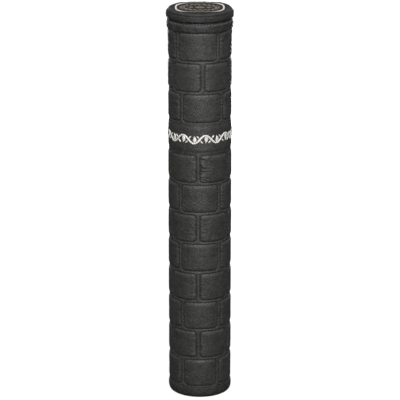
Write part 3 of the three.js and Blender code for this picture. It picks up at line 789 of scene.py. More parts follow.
def leather_sleeve(name, size, rows, node, seed):
    """A padded sheet of leather wrapped round the tube: its long edges meet at the back, and its
    ends all but touch the next sheet's"""
    bottom, top = size["bottom"], size["top"]
    ends = (bottom - SHEET_REACH, top + SHEET_REACH)
    bm, along, up = wrapped_grid(*ends, SLEEVE_CELL)
    depth = depth_of(along, up, rows, bottom, top)
    lift = smooth_puff(depth)
    swell = padded_sheet(name + "_cloth", bottom, top, rows, seed)
    lines, columns = swell.shape
    column = (along / HALF_ROUND + 1) / 2 * (columns - 1)
    line = np.clip((up - bottom) / (top - bottom), 0, 1) * (lines - 1)
    usual = BULGE_USUAL / max(float(np.percentile(swell, BULGE_PERCENTILE)), BULGE_LEAST)
    settled = np.maximum(read_grid(swell, column, line) * usual, 0)
    settled = BULGE_MOST * np.tanh(settled / BULGE_MOST)
    lift = SHEET_SHARE * settled + (1 - SHEET_SHARE) * lift * BULGE_USUAL / PUFF
    near, slackness = joint_distance(along, up, rows, bottom)
    slack = wrinkles(along, up, depth, near, slackness, seed)
    if rows:
        run = np.where(np.abs(near) < JOINT, up, along)
        height = lift + stitched_profile(depth, run) + slack
        # Painted light and shade on each point: wrinkle tops, rolls and strips paler, stitching
        # darker
        painted_light_and_shade = PAINTED_CREASE_SHADING * slack
        for amount, middle, width in PAINTED_LIGHT_LINES:
            painted_light_and_shade += amount * hump(depth - middle, width)
    else:
        flat = np.clip(BAND_FLAT - np.abs(up - BAND_MIDDLE) / BAND_FADE, 0, 1)
        rise = 1 - hump(np.maximum(depth + STRIP / 2, 0), BAND_SLOPE)
        loose = STRIP_RISE + (PUFF - STRIP_RISE) * rise + BAND_LOOSE_SHARE * (lift - PUFF)
        height = loose * (1 - flat) + (PUFF - BAND_SUNK) * flat + BAND_SLACK_SHARE * slack
        height = np.maximum(height, STRIP_RISE)
        # Painted shading on the band's wrinkles
        painted_light_and_shade = PAINTED_BAND_CREASE_SHADING * slack
    height += FLARE * hump(UPPER["top"] - up, FLARE_REACH)
    seam = HALF_ROUND - np.abs(along)
    radius = SEAM + height * np.clip(seam / BACK_SEAM_REACH + BACK_SEAM_SHARE, 0, 1)
    radius -= BACK_SEAM_DEPTH * hump(seam, BACK_SEAM_WIDTH)
    layer = bm.verts.layers.float.new("painted_light_and_shade")
    for n, v in enumerate(bm.verts):
        v.co = around(along[n] / SEAM, radius[n], up[n])
        v[layer] = min(max(painted_light_and_shade[n], -1.0), 1.0)
    bmesh.ops.remove_doubles(bm, verts=bm.verts, dist=SLEEVE_MERGE * MM)
    edges = [e for e in bm.edges if e.is_boundary]
    loops = []
    for level in ends:
        outer = [e for e in edges if all(abs(v.co.z / MM - level) < SLEEVE_CELL / 3
                                         for v in e.verts)]
        fresh, inner = extruded(bm, outer)
        for v in fresh:
            v.co = around(place_of(v)[0], COVER_INNER, level)
        loops += inner
    bmesh.ops.bridge_loops(bm, edges=loops)
    bmesh.ops.recalc_face_normals(bm, faces=bm.faces)
    piece = make_piece(name, bm, LEATHER, "case", "leather", node)


leather_sleeve("upper_quilted_leather", UPPER, UPPER_ROWS, "upper_quilted_panel", 1.0)
leather_sleeve("ornament_leather", BAND, [], "ornament_panel", 2.0)
leather_sleeve("lower_quilted_leather", LOWER, LOWER_ROWS, "lower_quilted_panel", 3.0)


# Stitching
CORNER_STEPS = 6
THREAD_PROUD_SHARE = 0.3
RING_PITCH = 3.6
RING_STITCH_SHARE = 0.6


def brick_outline(brick):
    """Evenly spaced places with directions along a brick's rounded outline"""
    left, right, low, high = brick
    corners = [(right - CORNER, high - CORNER, 0), (left + CORNER, high - CORNER, 90),
               (left + CORNER, low + CORNER, 180), (right - CORNER, low + CORNER, 270)]
    path = []
    for cx, cz, start in corners:
        for s in range(CORNER_STEPS + 1):
            turn = math.radians(start + 90 * s / CORNER_STEPS)
            path.append(Vector((cx + CORNER * math.cos(turn), cz + CORNER * math.sin(turn))))
    path.append(path[0])
    lengths = [(b - a).length for a, b in zip(path, path[1:])]
    total = sum(lengths)
    count = round(total / STITCH_PITCH)
    places = []
    k = 0
    walked = 0.0
    for n in range(count):
        target = total * n / count
        while walked + lengths[k] < target:
            walked += lengths[k]
            k += 1
        step = (path[k + 1] - path[k]).normalized()
        places.append((path[k] + step * (target - walked), step))
    return places


def quilt_stitches(name, size, rows):
    """The seams round every brick, sunk in their grooves"""
    bm = bmesh.new()
    sunk = SEAM - GROOVE_DEPTH + THREAD * THREAD_PROUD_SHARE
    for brick in panel_bricks(rows, size["bottom"] - FIT_GAP / 2):
        for spot, step in brick_outline(brick):
            angle = spot.x / SEAM
            along = facing(angle + QUARTER) * step.x + Vector((0, 0, step.y))
            stitch(bm, around(angle, sunk, spot.y), along, facing(angle))
    make_piece(name, bm, BLACK_THREAD, "case", "leather")


def ring_stitches(name, radius, z, tilt, lift, body, thread, skip=0):
    """A circle of stitches that face up by a tilt in degrees, left out for a distance in
    millimetres each side of the back"""
    bm = bmesh.new()
    count = round(TURN * radius / RING_PITCH)
    slope = math.radians(tilt)
    for n in range(count):
        angle = TURN * (n + 0.5) / count - math.pi
        if (math.pi - abs(angle)) * radius < skip:
            continue
        out = facing(angle) * math.cos(slope) + Vector((0, 0, math.sin(slope)))
        stitch(bm, around(angle, radius, z) + out * lift * MM, facing(angle + QUARTER), out,
               RING_PITCH * RING_STITCH_SHARE)
    make_piece(name, bm, thread, body, "leather")


quilt_stitches("upper_quilting_stitches", UPPER, UPPER_ROWS)
quilt_stitches("lower_quilting_stitches", LOWER, LOWER_ROWS)


# Collar, foot and lid leathers
PATCH_HALF_WIDTH = 11.5
LIP_REACH = 0.5
TAPE_STEP = 1.7
COLLAR_FOLD = 0.65
COLLAR_FOLD_TOP = 5.4
COLLAR_HANG = 1.2
COLLAR_GROOVE = 2.5
COLLAR_GROOVE_DEPTH = 0.5
COLLAR_STITCH_DEPTH = 0.3
FOOT_FLOOR = 34.9
FOOT_ROUND = 6.8
FOOT_ARC = 12
FOOT_BULGE = 0.25
FOOT_WALL = 0.2
FOOT_TURN_UP = 2.0
FLAT_UNDER = 1.6
BASE_PANEL = 1.2
BASE_CORNER = 0.4
BASE_GAP = 0.4
LID_BULGE = 0.3
LID_SHOULDER = 2.6
LID_STITCH_IN = 0.45
LID_STITCH_DOWN = 1.0
ROLL_HEIGHT = 1.35
ROLL_WIDTH = 3.2
ROLL_CREST = 1.6
ROLL_BAND = 3.0
ROLL_FRONT_SHARE = 0.5
ROLL_BACK_SHARE = 0.2
ROLL_PUCKER = 0.35
ROLL_PUCKERS = 11
ROLL_SAG = 0.5
ROLL_SAG_SIZE = 26.0
TOP_UNEVEN = 0.12
# Painted shade on the lid's flat, and a slight painted highlight on its roll
FLAT_PAINTED_SHADE = -1.0
ROLL_PAINTED_LIGHT = 0.1
FLAT_EDGE = 5.5
FLAT_EDGE_WIDTH = 3.5


def collar():
    """The padded welt under the slit: a stitched lip, then a fold that hangs over the cover"""
    low, high = COLLAR["bottom"], COLLAR["top"] + LIP_REACH
    out = COLLAR["radius"]
    fold = out + COLLAR_FOLD
    under = out - COLLAR_FOLD
    inner = COIL["radius"] + FIT_GAP
    tape_side = inner - TAPE_STEP
    ledge = COIL["bottom"] - FIT_GAP
    groove = high - COLLAR_GROOVE
    outline = [(tape_side, low), (under, low), (under, low - COLLAR_HANG + 0.3),
               (out + 0.1, low - COLLAR_HANG - 0.1), (fold, low - 0.3),
               (fold, low + COLLAR_FOLD_TOP), (out + 0.2, groove - 0.7),
               (out - COLLAR_GROOVE_DEPTH, groove), (out - 0.05, groove + 0.6),
               (out - 0.05, high - 1.2), (out - 1.0, high - 0.3), (inner, high), (inner, ledge),
               (tape_side, ledge)]
    bm = turned(outline, [0, 0, 0.4, 0.5, 0.8, 1.6, 0.6, 0.3, 0.3, 0.4, 0.5, 0.2, 0, 0], 1.0, 240)
    crumple(bm, 0.5, 5.5)
    make_piece("collar_leather", bm, EDGE_LEATHER, "case", "leather", "collar_band")
    ring_stitches("collar_stitches", out - COLLAR_STITCH_DEPTH, groove, 0, 0.1, "case",
                  GREY_THREAD, skip=PATCH_HALF_WIDTH)


def foot():
    """The leather turned under the bottom edge, fuller and rounder than the rows above it, and
    the panel that closes the base inside it"""
    high = FOOT["top"]
    bulge = FOOT["radius"] + FOOT_BULGE
    under = FOOT_FLOOR - FOOT_WALL
    turns = [QUARTER * s / FOOT_ARC for s in range(FOOT_ARC + 1)]
    outline = [(FOOT_FLOOR + (bulge - FOOT_FLOOR) * math.sin(t), FOOT_ROUND * (1 - math.cos(t)))
               for t in turns]
    outline += [(bulge - 0.1, FOOT_ROUND + 2), (SEAM + 1.1, high - 1.0), (SEAM + 0.4, high),
                (COVER_INNER, high), (COVER_INNER, FOOT_TURN_UP), (COVER_INNER - 0.2, 1.45),
                (under, 1.25), (under, 0)]
    bm = turned(outline, None, 1.2, 200)
    crumple(bm, 0.3, 6.0, lowest=FLAT_UNDER)
    make_piece("foot_leather", bm, LEATHER_PAINTED_DARKER, "case", "leather", "foot_band")
    edge = under - BASE_GAP
    outline = [(0, 0), (edge - BASE_CORNER, 0), (edge, BASE_CORNER), (edge, BASE_PANEL),
               (0, BASE_PANEL)]
    bm = turned(outline, None, 1.4, 120)
    make_piece("base_panel_leather", bm, EDGE_LEATHER, "case", "leather", "base_leather")


def lid_side():
    """The lid's gusset: a lip over the zip, then a padded bulge up to the welt round the top"""
    low, high = LID_SIDE["bottom"] - LIP_REACH, LID_SIDE["top"]
    out = LID_SIDE["radius"]
    bulge = out + LID_BULGE
    inner = COIL["radius"] + FIT_GAP
    tape_side = inner - TAPE_STEP
    shelf = LID_TOP["bottom"] - FIT_GAP
    ledge = COIL_LID["top"] + FIT_GAP
    seat = LID_TOP["radius"] + FIT_GAP
    outline = [(inner, low), (out - 0.1, low), (out + 0.2, low + 0.6), (bulge, low + LID_SHOULDER),
               (bulge, high - LID_SHOULDER), (bulge - 0.3, high - 1.3), (seat + 0.6, high - 0.7),
               (seat + 0.15, high - 0.5), (seat, high - 0.55), (seat, shelf), (tape_side, shelf),
               (tape_side, ledge), (inner, ledge)]
    bm = turned(outline, [0.2, 0.3, 0.6, 1.2, 1.0, 0.8, 0.4, 0.2, 0, 0, 0, 0, 0], 1.0, 240)
    crumple(bm, 0.4, 5.0)
    make_piece("lid_side_leather", bm, LEATHER_PAINTED_DARKER, "lid", "leather", "lid_side_band")
    ring_stitches("lid_side_stitches", bulge - LID_STITCH_IN, high - LID_STITCH_DOWN, 40, 0.05,
                  "lid", BLACK_THREAD)


def lid_top():
    """The padded top: a soft roll of leather with a slight painted highlight, round the flat that
    carries the plaque, which is painted darker as painted shade. The roll is fullest at the flanks"""
    edge = LID_TOP["radius"]
    low, high = LID_TOP["bottom"], LID_TOP["top"]
    crest = high + ROLL_HEIGHT
    valley = math.hypot(PLAQUE_HALF_WIDTH, PLAQUE_HALF_DEPTH) * 2 ** (-1 / PLAQUE_EXPONENT) + 0.4
    outline = [(0, low), (edge, low), (edge + 0.5, low + 1.0), (edge - 0.5, low + 2.3),
               (edge - ROLL_CREST, crest), (edge - ROLL_WIDTH, crest - 0.05),
               (valley + 0.3, high + 0.1), (valley - 1, high), (0, high)]
    bm = turned(outline, [0, 0.1, 0.6, 0.9, 1.2, 1.2, 1.0, 0.6, 0], 1.2, 240, arc=5)
    # Painted shade: the flat round the plaque is painted darker, the roll a little paler
    layer = bm.verts.layers.float.new("painted_light_and_shade")
    for v in bm.verts:
        angle, radius, level = place_of(v)
        share = min(max((radius - edge + FLAT_EDGE) / FLAT_EDGE_WIDTH, 0), 1)
        v[layer] = FLAT_PAINTED_SHADE + (ROLL_PAINTED_LIGHT - FLAT_PAINTED_SHADE) * share
        if level > low + 0.3 and radius > 1:
            flank = min(max((abs(math.sin(angle)) - 0.3) / 0.4, 0), 1)
            lowest = ROLL_FRONT_SHARE if math.cos(angle) > 0 else ROLL_BACK_SHARE
            fullness = max(flank * flank * (3 - 2 * flank), lowest)
            if level > high:
                v.co.z = (high + (level - high) * fullness) * MM
            band = hump(radius - edge + 1.5, ROLL_BAND)
            ring = facing(angle + QUARTER) * ROLL_PUCKERS + Vector((0, 0, radius / 6))
            rise = ROLL_PUCKER * ripple(ring, 1.0, 2.0)
            rise += ROLL_SAG * ripple(v.co / MM, ROLL_SAG_SIZE, 5.0)
            v.co.z += (band * rise + TOP_UNEVEN * ripple(v.co / MM, 4.0, 6.0)) * MM
    piece = make_piece("lid_top_padded_leather", bm, LEATHER_PAINTED_DARKER, "lid", "leather",
                       "lid_top_leather")


HEM = 0.22
HEM_INSIDE = 9
HEM_OUTSIDE = 2.5
HEM_GLUE = 0.02
LINING_WALL = 0.2
LINING_DRAWN = 0.05
LINING_CORNER = 0.5
LINING_CELL = 1.4


def mouth_hem():
    """The lining turned over the tube's mouth and glued down on both sides"""
    inner, outer, top = BAY_RADIUS, CORE["radius"], CORE["top"]
    outline = [(inner - HEM, top - HEM_INSIDE), (inner - HEM, top + HEM), (outer + HEM, top + HEM),
               (outer + HEM, top - HEM_OUTSIDE), (outer + HEM_GLUE, top - HEM_OUTSIDE),
               (outer + HEM_GLUE, top + HEM_GLUE), (inner - HEM_GLUE, top + HEM_GLUE),
               (inner - HEM_GLUE, top - HEM_INSIDE)]
    bm = turned(outline, [0, HEM * 2, HEM * 2, 0, 0, 0, 0, 0], LINING_CELL, 160)
    make_piece("mouth_hem", bm, LINING, "case", "lining")


def lid_lining():
    """The lid's lining, drawn over the edge of its board"""
    low, high = LID_LINING["bottom"], LID_LINING["top"]
    edge = LID_BOARD["radius"] + FIT_GAP - LINING_DRAWN
    wrap = LID_BOARD["top"]
    outline = [(0, low), (edge - LINING_CORNER, low), (edge, low + LINING_CORNER), (edge, wrap),
               (edge - LINING_WALL, wrap), (edge - LINING_WALL, high), (0, high)]
    bm = turned(outline, [0, 0.3, 0.3, 0, 0, 0, 0], LINING_CELL, 160)
    make_piece("lid_lining_cloth", bm, LINING, "lid", "lining", "lid_lining")


collar()
foot()
lid_side()
lid_top()
mouth_hem()
lid_lining()


# Embroidered vine
VINE_REACH = math.radians(104)
VINE_WAVES = 5
VINE_HEIGHT = 12.4
VINE_STROKE = 2.6
VINE_RISE = 0.8
VINE_RADIUS = CROWN + 0.02
STEM_SAMPLES = 900
STEM_TIP = 8
STEM_THIN_SHARE = 0.62
LEAF_LENGTH = 8.4
LEAF_WIDTH = 4.7
LEAF_BEND = 0.9
LEAF_RISE = VINE_RISE * 1.1
LEAF_ROOT_SHARE = 0.3
BLADE_POWER = 0.8
TENDRIL_LENGTH = 5.6
TENDRIL_WIDTH = 2.0
STITCH_WIDTH = 0.5
SATIN_SIDES = 10
# Every other crosswise thread stands lower or narrower than its neighbour: (width, height)
SATIN_SHARES = [(1.0, 0.8), (0.985, 1.0)]
SATIN_UNDER_SHARE = 0.3


def satin(bm, spine, widths, rise=VINE_RISE):
    """Satin stitch along a spine of (along, up) places: a low rounded ridge of crosswise threads"""
    rings = []
    last = len(spine) - 1
    for n, (place, width) in enumerate(zip(spine, widths)):
        ahead = spine[min(n + 1, last)] - spine[max(n - 1, 0)]
        normal = Vector((-ahead.y, ahead.x)).normalized()
        wide, tall = SATIN_SHARES[n % 2]
        ring = []
        for s in range(SATIN_SIDES):
            turn = TURN * s / SATIN_SIDES
            spot = place + normal * (math.cos(turn) * width / 2 * wide)
            lift = math.sin(turn) * rise * (tall if math.sin(turn) > 0 else SATIN_UNDER_SHARE)
            ring.append(around(spot.x / VINE_RADIUS, VINE_RADIUS + lift, BAND_MIDDLE + spot.y))
        rings.append(ring)
    lofted(bm, rings, endless=False)


def shares_of(length):
    """Even shares from 0 to 1, two to each thread's width along this length"""
    steps = round(length / (STITCH_WIDTH / 2))
    return [n / steps for n in range(steps + 1)]


def blade(share):
    """The width of a leaf or tendril along its length, as a share of its fullest"""
    return math.sin(math.pi * share ** BLADE_POWER)


def embroidery():
    """A waved stem with a leaf in each bend, and a pair of tendrils where it crosses the middle"""
    bm = bmesh.new()
    half_length = VINE_REACH * (CROWN + FIT_GAP)
    wave = 2 * half_length / VINE_WAVES
    swing = (VINE_HEIGHT - VINE_STROKE) / 2
    raw = []
    for n in range(STEM_SAMPLES + 1):
        along = -half_length + 2 * half_length * n / STEM_SAMPLES
        raw.append(Vector((along, swing * math.sin(TURN * along / wave))))
    spine = [raw[0]]
    walked = 0
    for a, b in zip(raw, raw[1:]):
        walked += (b - a).length
        if walked >= STITCH_WIDTH / 2:
            spine.append(b)
            walked = 0
    widths = []
    for n, place in enumerate(spine):
        tip = min(1, (min(n, len(spine) - 1 - n) + 1) / STEM_TIP)
        fullness = abs(math.cos(TURN * place.x / wave)) * (1 - STEM_THIN_SHARE) + STEM_THIN_SHARE
        widths.append(VINE_STROKE * tip * fullness)
    satin(bm, spine, widths)
    shares = shares_of(LEAF_LENGTH)
    for k in range(2 * VINE_WAVES):
        upward = -1 if k % 2 == 0 else 1
        along = -half_length + wave * (k + 0.5) / 2
        root = upward * (swing - VINE_STROKE * LEAF_ROOT_SHARE)
        leaf = [Vector((along + LEAF_BEND * math.sin(math.pi * s), root - upward * LEAF_LENGTH * s))
                for s in shares]
        satin(bm, leaf, [max(0.25, LEAF_WIDTH * blade(s)) for s in shares], LEAF_RISE)
    shares = shares_of(TENDRIL_LENGTH)
    for k in range(2 * VINE_WAVES - 1):
        upward = 1 if k % 2 == 0 else -1
        along = -half_length + wave * (k + 1) / 2
        for side in (-1, 1):
            curl = [Vector((along + side * (0.9 + 2.9 * s),
                            -side * upward * (1.2 + 4.8 * s - 1.8 * s * s))) for s in shares]
            satin(bm, curl, [TENDRIL_WIDTH * max(0.2, blade(s)) for s in shares])
    bmesh.ops.recalc_face_normals(bm, faces=bm.faces)
    make_piece("vine_embroidery", bm, SILVER_THREAD, "case", "silver_thread",
               "ornament_embroidery")


embroidery()


# Plaque
PLAQUE_STEPS = 160
RIM_WIDTH = 1.9
FIELD_TUCK = 0.2
FIELD_HEIGHT = 0.55
WREATH_ACROSS = 20.5
WREATH_DEEP = 15.5
WREATH_LEAVES = 20
WREATH_LEAF = (5.8, 2.1)
WREATH_TILT = 38
SPRIG_REACH = 7.5
SPRIG_LENGTH = 7.0
SPRIG_WIDTH = 2.4
SPRIG_TILT = 32
PETAL = (6.4, 2.6)
PETALS = 8
BOSS_RADIUS = 2
BOSS_RISE_SHARE = 1.5


def plaque_edge(turn, inset, z):
    """A place on the plaque's squarish oval, drawn in by a distance, at a height"""
    across, along = math.cos(turn), math.sin(turn)
    width, depth = PLAQUE_HALF_WIDTH - inset, PLAQUE_HALF_DEPTH - inset
    power = 2 / PLAQUE_EXPONENT
    return Vector((math.copysign(width * abs(across) ** power, across),
                   math.copysign(depth * abs(along) ** power, along), z)) * MM


def relief_leaf(bm, x, y, tilt, size, height):
    """A leaf with a crease along its middle, from a place on the field and turned by a tilt"""
    length, width = size
    turn = math.radians(tilt)
    away = Vector((math.cos(turn), math.sin(turn), 0))
    across = Vector((-away.y, away.x, 0))
    middle = Vector((x, y, RIM["bottom"] + FIELD_HEIGHT)) + away * length / 2
    for v in bmesh.ops.create_uvsphere(bm, u_segments=16, v_segments=10, radius=1)["verts"]:
        share = min(max((v.co.x + 1) / 2, 0.02), 0.98)
        narrow = math.sin(math.pi * share ** 0.85) ** 0.6
        crease = 1 - 0.35 * hump(v.co.y, 0.22)
        v.co = (middle + away * (v.co.x * length / 2) + across * (v.co.y * width / 2 * narrow)
                + Vector((0, 0, max(v.co.z, -0.4) * height * crease))) * MM


def plaque():
    """A bright rim round a dark field, with a wreath, two sprigs and a rosette in low relief"""
    low, high = RIM["bottom"], RIM["top"]
    field = low + FIELD_HEIGHT
    turns = [TURN * n / PLAQUE_STEPS for n in range(PLAQUE_STEPS)]
    bm = bmesh.new()
    section = rounded([(0, low), (0, high), (RIM_WIDTH, high - 0.1), (RIM_WIDTH, low)],
                      [0, 0.25, 0.3, 0], 3)
    lofted(bm, [[plaque_edge(turn, inset, z) for inset, z in section] for turn in turns],
           endless=True)
    bmesh.ops.recalc_face_normals(bm, faces=bm.faces)
    make_piece("plaque_polished_rim", bm, RIM_SILVER, "lid", "plaque_bright", "plaque_rim")

    bm = bmesh.new()
    base = bm.faces.new([bm.verts.new(plaque_edge(turn, RIM_WIDTH - FIELD_TUCK, low))
                         for turn in turns])
    for v in raised(bm, [base]):
        v.co.z = field * MM
    bmesh.ops.recalc_face_normals(bm, faces=bm.faces)
    make_piece("plaque_dark_field", bm, DARK_ZINC, "lid", "plaque_dark", "plaque_plate",
               smooth=False)

    bm = bmesh.new()
    height = PLATE["top"] - field
    for n in range(WREATH_LEAVES):
        for side in (-1, 1):
            turn = TURN * (n + 0.25 * (side + 1)) / WREATH_LEAVES
            x, y = WREATH_ACROSS * math.cos(turn), WREATH_DEEP * math.sin(turn)
            along = math.atan2(WREATH_DEEP * math.cos(turn), -WREATH_ACROSS * math.sin(turn))
            relief_leaf(bm, x, y, math.degrees(along) + WREATH_TILT * side, WREATH_LEAF, height)
    for side in (-1, 1):
        for tilt in (-SPRIG_TILT, 0, SPRIG_TILT):
            size = (SPRIG_LENGTH - abs(tilt) / 20, SPRIG_WIDTH)
            relief_leaf(bm, side * SPRIG_REACH, 0, tilt if side > 0 else 180 - tilt, size, height)
    for k in range(PETALS):
        relief_leaf(bm, 0, 0, 360 * (k + 0.5) / PETALS, PETAL, height)
    boss = Matrix.Diagonal((BOSS_RADIUS * MM, BOSS_RADIUS * MM, height * BOSS_RISE_SHARE * MM, 1))
    bmesh.ops.create_uvsphere(bm, u_segments=20, v_segments=12, radius=1,
                              matrix=Matrix.Translation((0, 0, field * MM)) @ boss)
    bmesh.ops.recalc_face_normals(bm, faces=bm.faces)
    make_piece("plaque_leaf_relief", bm, RUBBED_ZINC, "lid", "plaque_dark")


plaque()


# Hinge patch
PATCH_THICK = 1.2
PATCH_EDGE = 0.3
PATCH_UNEVEN = 0.2
PATCH_GRID = (34, 26)
PATCH_MARGIN = 1.6
PATCH_STITCH = 2.2
PATCH_PITCH = 3


def patch_stitches(name, body, radius, low, high, row, first, half_angle):
    """The seam round one half of the patch: a row at its far edge, and one up each side"""
    bm = bmesh.new()
    round_radius = LID_SIDE["radius"] + FIT_GAP
    span = half_angle * round_radius - PATCH_MARGIN
    count = round(2 * span / PATCH_PITCH)
    seam = []
    for n in range(count):
        along = -span + 2 * span * (n + 0.5) / count
        angle = math.pi + along / round_radius
        seam.append((angle, row, facing(angle + QUARTER)))
    for side in (-1, 1):
        for n in range(round((high - low - PATCH_MARGIN) / PATCH_PITCH)):
            z = first + PATCH_PITCH * n
            if z < high - 0.6:
                seam.append((math.pi + side * span / round_radius, z, Vector((0, 0, 1))))
    for angle, z, along in seam:
        stitch(bm, around(angle, radius, z), along, facing(angle), PATCH_STITCH)
    make_piece(name, bm, BLACK_THREAD, body, "leather")


def hinge_patch():
    """A leather patch glued and sewn over the zip's two ends, which bends as the lid turns"""
    near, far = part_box("hinge_patch")
    bottom, top = near.z / MM, far.z / MM
    half_angle = far.x / MM / (LID_SIDE["radius"] + FIT_GAP)
    slit_low, slit_high = COLLAR["top"], LID_SIDE["bottom"]
    levels = [COLLAR["bottom"] + COLLAR_FOLD_TOP, slit_low - 1.5, slit_high,
              slit_high + LID_SHOULDER]
    backs = [COLLAR["radius"] + COLLAR_FOLD, COLLAR["radius"], LID_SIDE["radius"],
             LID_SIDE["radius"] + LID_BULGE]
    bm = bmesh.new()
    bmesh.ops.create_grid(bm, x_segments=PATCH_GRID[0], y_segments=PATCH_GRID[1], size=1)
    for v in bm.verts:
        across, share = v.co.x, (v.co.y + 1) / 2
        z = bottom + (top - bottom) * share
        v.co = around(math.pi + across * half_angle, np.interp(z, levels, backs) + 0.1, z)
    for v in raised(bm, bm.faces[:]):
        angle, _, z = place_of(v)
        edge_x = 1 - (math.pi - abs(angle)) / half_angle
        edge_z = min(z - bottom, top - z) / (top - bottom) * 2
        soft = min(1, max(min(edge_x * 3.2, edge_z * 2.6), 0) ** 0.5 + 0.35)
        swell = (PATCH_THICK - PATCH_EDGE) * soft + PATCH_UNEVEN * ripple(v.co / MM, 4.0, 4.0)
        v.co += facing(angle) * swell * MM
    bmesh.ops.recalc_face_normals(bm, faces=bm.faces)
    piece = make_piece("hinge_patch_leather", bm, EDGE_LEATHER, None, "leather", "hinge_patch")
    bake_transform(piece)
    proud = FIT_GAP + PATCH_THICK - 0.05
    patch_stitches("hinge_patch_stitches_case", "case", COLLAR["radius"] + proud, bottom,
                   slit_low - 1, bottom + PATCH_MARGIN, bottom + PATCH_MARGIN + 1, half_angle)
    patch_stitches("hinge_patch_stitches_lid", "lid", LID_SIDE["radius"] + proud, slit_high + 1,
                   top, top - PATCH_MARGIN, slit_high + 1.4, half_angle)


hinge_patch()


# Zip: the coil's turns, one small arch each, either side of the slit, on a sewn cord
ZIP_REACH = math.radians(148)
ZIP_PITCH = 1.25
ARCH_DEPTH = 1.36
ARCH_WIDTH = 0.84
ZIP_CORD_IN = 1.5
ZIP_CORD_HALF_WIDTH = 0.5
ZIP_CORD_HALF_HEIGHT = 0.35


def zip_coil(name, size, edge, inward, body, node):
    """One half of the zip: its turns meet the other half's at edge, and inward is up or down
    from there to its cord"""
    bm = bmesh.new()
    radius = (TAPE["radius"] + FIT_GAP + size["radius"]) / 2
    count = round(2 * ZIP_REACH * radius / ZIP_PITCH)
    middle = (size["bottom"] + size["top"]) / 2
    arch = (Matrix.Rotation(QUARTER, 4, "Y")
            @ Matrix.Diagonal(((size["top"] - size["bottom"]) * MM, ARCH_DEPTH * MM,
                               ARCH_WIDTH * MM, 1)))
    for n in range(count + 1):
        angle = -ZIP_REACH + 2 * ZIP_REACH * n / count
        place_copy(bm, BEAD, Matrix.Translation(around(angle, radius, middle))
                   @ Matrix.Rotation(angle, 4, "Z") @ arch)
    root = edge + inward * ZIP_CORD_IN
    cord = bmesh.new()
    corners = [(radius + side * ZIP_CORD_HALF_WIDTH, root + rise * ZIP_CORD_HALF_HEIGHT)
               for side, rise in ((-1, -1), (1, -1), (1, 1), (-1, 1))]
    face = cord.faces.new([cord.verts.new(around(-ZIP_REACH, r, z)) for r, z in corners])
    bmesh.ops.spin(cord, geom=[face], cent=(0, 0, 0), axis=(0, 0, 1), angle=2 * ZIP_REACH,
                   steps=120, use_merge=False, use_duplicate=False)
    bmesh.ops.recalc_face_normals(cord, faces=cord.faces)
    spare = new_mesh("zip_cord", cord)
    bm.from_mesh(spare)
    bpy.data.meshes.remove(spare)
    make_piece(name, bm, NYLON, body, "zip_coil", node)


zip_coil("zip_coil_turns_case", COIL, COIL["top"], -1, "case", "zip_coil_case")
zip_coil("zip_coil_turns_lid", COIL_LID, COIL_LID["bottom"], 1, "lid", "zip_coil_lid")


# Slider and pull: bevelled castings where the frame has them
CAST_BEVEL = 0.25
CAST_MERGE = 0.02
CAST_FLAT = math.radians(2)
CAST_SHARP = math.radians(25)


def cast_copy(node, name, body):
    """The frame's own shape, with its edges rounded as a casting's are"""
    bm = bmesh.new()
    bm.from_mesh(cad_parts[node].data)
    bmesh.ops.remove_doubles(bm, verts=bm.verts, dist=CAST_MERGE * MM)
    bmesh.ops.dissolve_limit(bm, angle_limit=CAST_FLAT, verts=bm.verts, edges=bm.edges)
    sharp = [e for e in bm.edges if e.is_manifold and e.calc_face_angle(0) > CAST_SHARP]
    bmesh.ops.bevel(bm, geom=sharp, offset=CAST_BEVEL * MM, segments=2, profile=0.5,
                    affect="EDGES", material=-1, clamp_overlap=True)
    bmesh.ops.recalc_face_normals(bm, faces=bm.faces)
    make_piece(name, bm, GUNMETAL, body, "zip_metal", node, smooth=False)


cast_copy("zip_slider", "slider_casting", "slider")
cast_copy("zip_pull", "pull_casting", "pull")


# Frame nodes that keep their shape
for node, material in {
    "core_tube": BOARD, "base_board": BOARD, "lid_board": BOARD, "core_padding": WADDING,
    "lid_padding": WADDING, "tube_lining": LINING, "base_lining": LINING,
    "zip_tape_case": ZIP_TAPE, "zip_tape_lid": ZIP_TAPE, "zip_stop_left": GUNMETAL,
    "zip_stop_right": GUNMETAL,
}.items():
    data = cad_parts[node].data
    data.materials.clear()
    data.materials.append(material)


# Stage: pale floor, soft lamps, white surroundings
def by_ray(tree, lighting, mirrored, seen):
    """One shader for the rays that light the object, one for those that metal and glass send
    out, and one for the camera's own"""
    path = add_node(tree, "ShaderNodeLightPath")
    shiny = add_node(tree, "ShaderNodeMath", {0: path.outputs["Is Glossy Ray"],
                     1: path.outputs["Is Transmission Ray"]}, operation="MAXIMUM")
    unseen = add_node(tree, "ShaderNodeMixShader", {0: shiny, 1: lighting, 2: mirrored})
    return add_node(tree, "ShaderNodeMixShader", {0: path.outputs["Is Camera Ray"], 1: unseen,
                    2: seen})


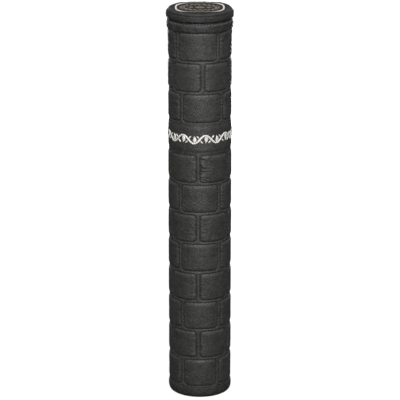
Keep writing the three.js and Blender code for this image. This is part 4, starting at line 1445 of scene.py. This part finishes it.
def add_floor():
    """White paper: it bounces some light, and reads white apart from the object's shadow"""
    material, tree, place = start_material("white_paper_floor")
    matt, mirrored, shadowed = [
        add_node(tree, "ShaderNodeBsdfDiffuse", {"Color": linear(hex_code)})
        for hex_code in (FLOOR_BOUNCE, FLOOR_MIRRORED, FLOOR_SHADOW)]
    away = add_node(tree, "ShaderNodeVectorMath", {0: place}, operation="LENGTH")
    fade = add_node(tree, "ShaderNodeMapRange", {"Value": away.outputs["Value"],
                    "From Min": GLOW_NEAR, "From Max": GLOW_FAR, "To Min": FLOOR_GLOW})
    glow = add_node(tree, "ShaderNodeEmission", {"Color": WHITE, "Strength": fade})
    lit = add_node(tree, "ShaderNodeAddShader", {0: shadowed, 1: glow})
    add_node(tree, "ShaderNodeOutputMaterial", {"Surface": by_ray(tree, matt, mirrored, lit)})
    bm = bmesh.new()
    bmesh.ops.create_circle(bm, cap_ends=True, segments=64, radius=FLOOR_RADIUS)
    mesh = new_mesh("floor", bm)
    mesh.materials.append(material)
    link_object("floor", mesh)


def add_world():
    """A pale room: dim as a lamp, light grey in the metal, white behind the object"""
    world = bpy.data.worlds.new("studio")
    world.use_nodes = True
    tree = world.node_tree
    tree.nodes.clear()
    looks = [add_node(tree, "ShaderNodeBackground", {"Color": WHITE, "Strength": strength})
             for strength in (ROOM_LIGHT, ROOM_MIRRORED, 1.0)]
    add_node(tree, "ShaderNodeOutputWorld", {"Surface": by_ray(tree, *looks)})
    bpy.context.scene.world = world


def add_lamp(name, place, target, width, height, watts, grid=180):
    """A softbox; a grid in front of it narrows its beam to this many degrees"""
    data = bpy.data.lights.new(name, "AREA")
    data.shape = "RECTANGLE"
    data.size = width
    data.size_y = height
    data.energy = watts
    data.spread = math.radians(grid)
    lamp = link_object(name, data)
    lamp.location = place
    lamp.rotation_euler = (Vector(target) - Vector(place)).to_track_quat("-Z", "Y").to_euler()


WHITE = [1, 1, 1, 1]
FLOOR_RADIUS = 12
FLOOR_BOUNCE = "#505050"
FLOOR_MIRRORED = "#505050"
FLOOR_SHADOW = "#6c6c6c"
FLOOR_GLOW = 0.9
GLOW_NEAR = 0.25
GLOW_FAR = 0.8
ROOM_LIGHT = 0.42
ROOM_MIRRORED = 0.6
add_floor()
add_world()
add_lamp("key_softbox", (0.08, -1.5, 0.26), (0, 0, 0.2), 1.1, 0.45, 2.0, grid=70)
add_lamp("top_softbox", (0.05, -0.95, 1.4), (0, 0, 0.42), 0.5, 0.5, 22)
add_lamp("back_softbox", (0, 1.5, 0.22), (0, 0, 0.22), 1.0, 0.42, 20)
bpy.context.scene.view_settings.view_transform = "Standard"
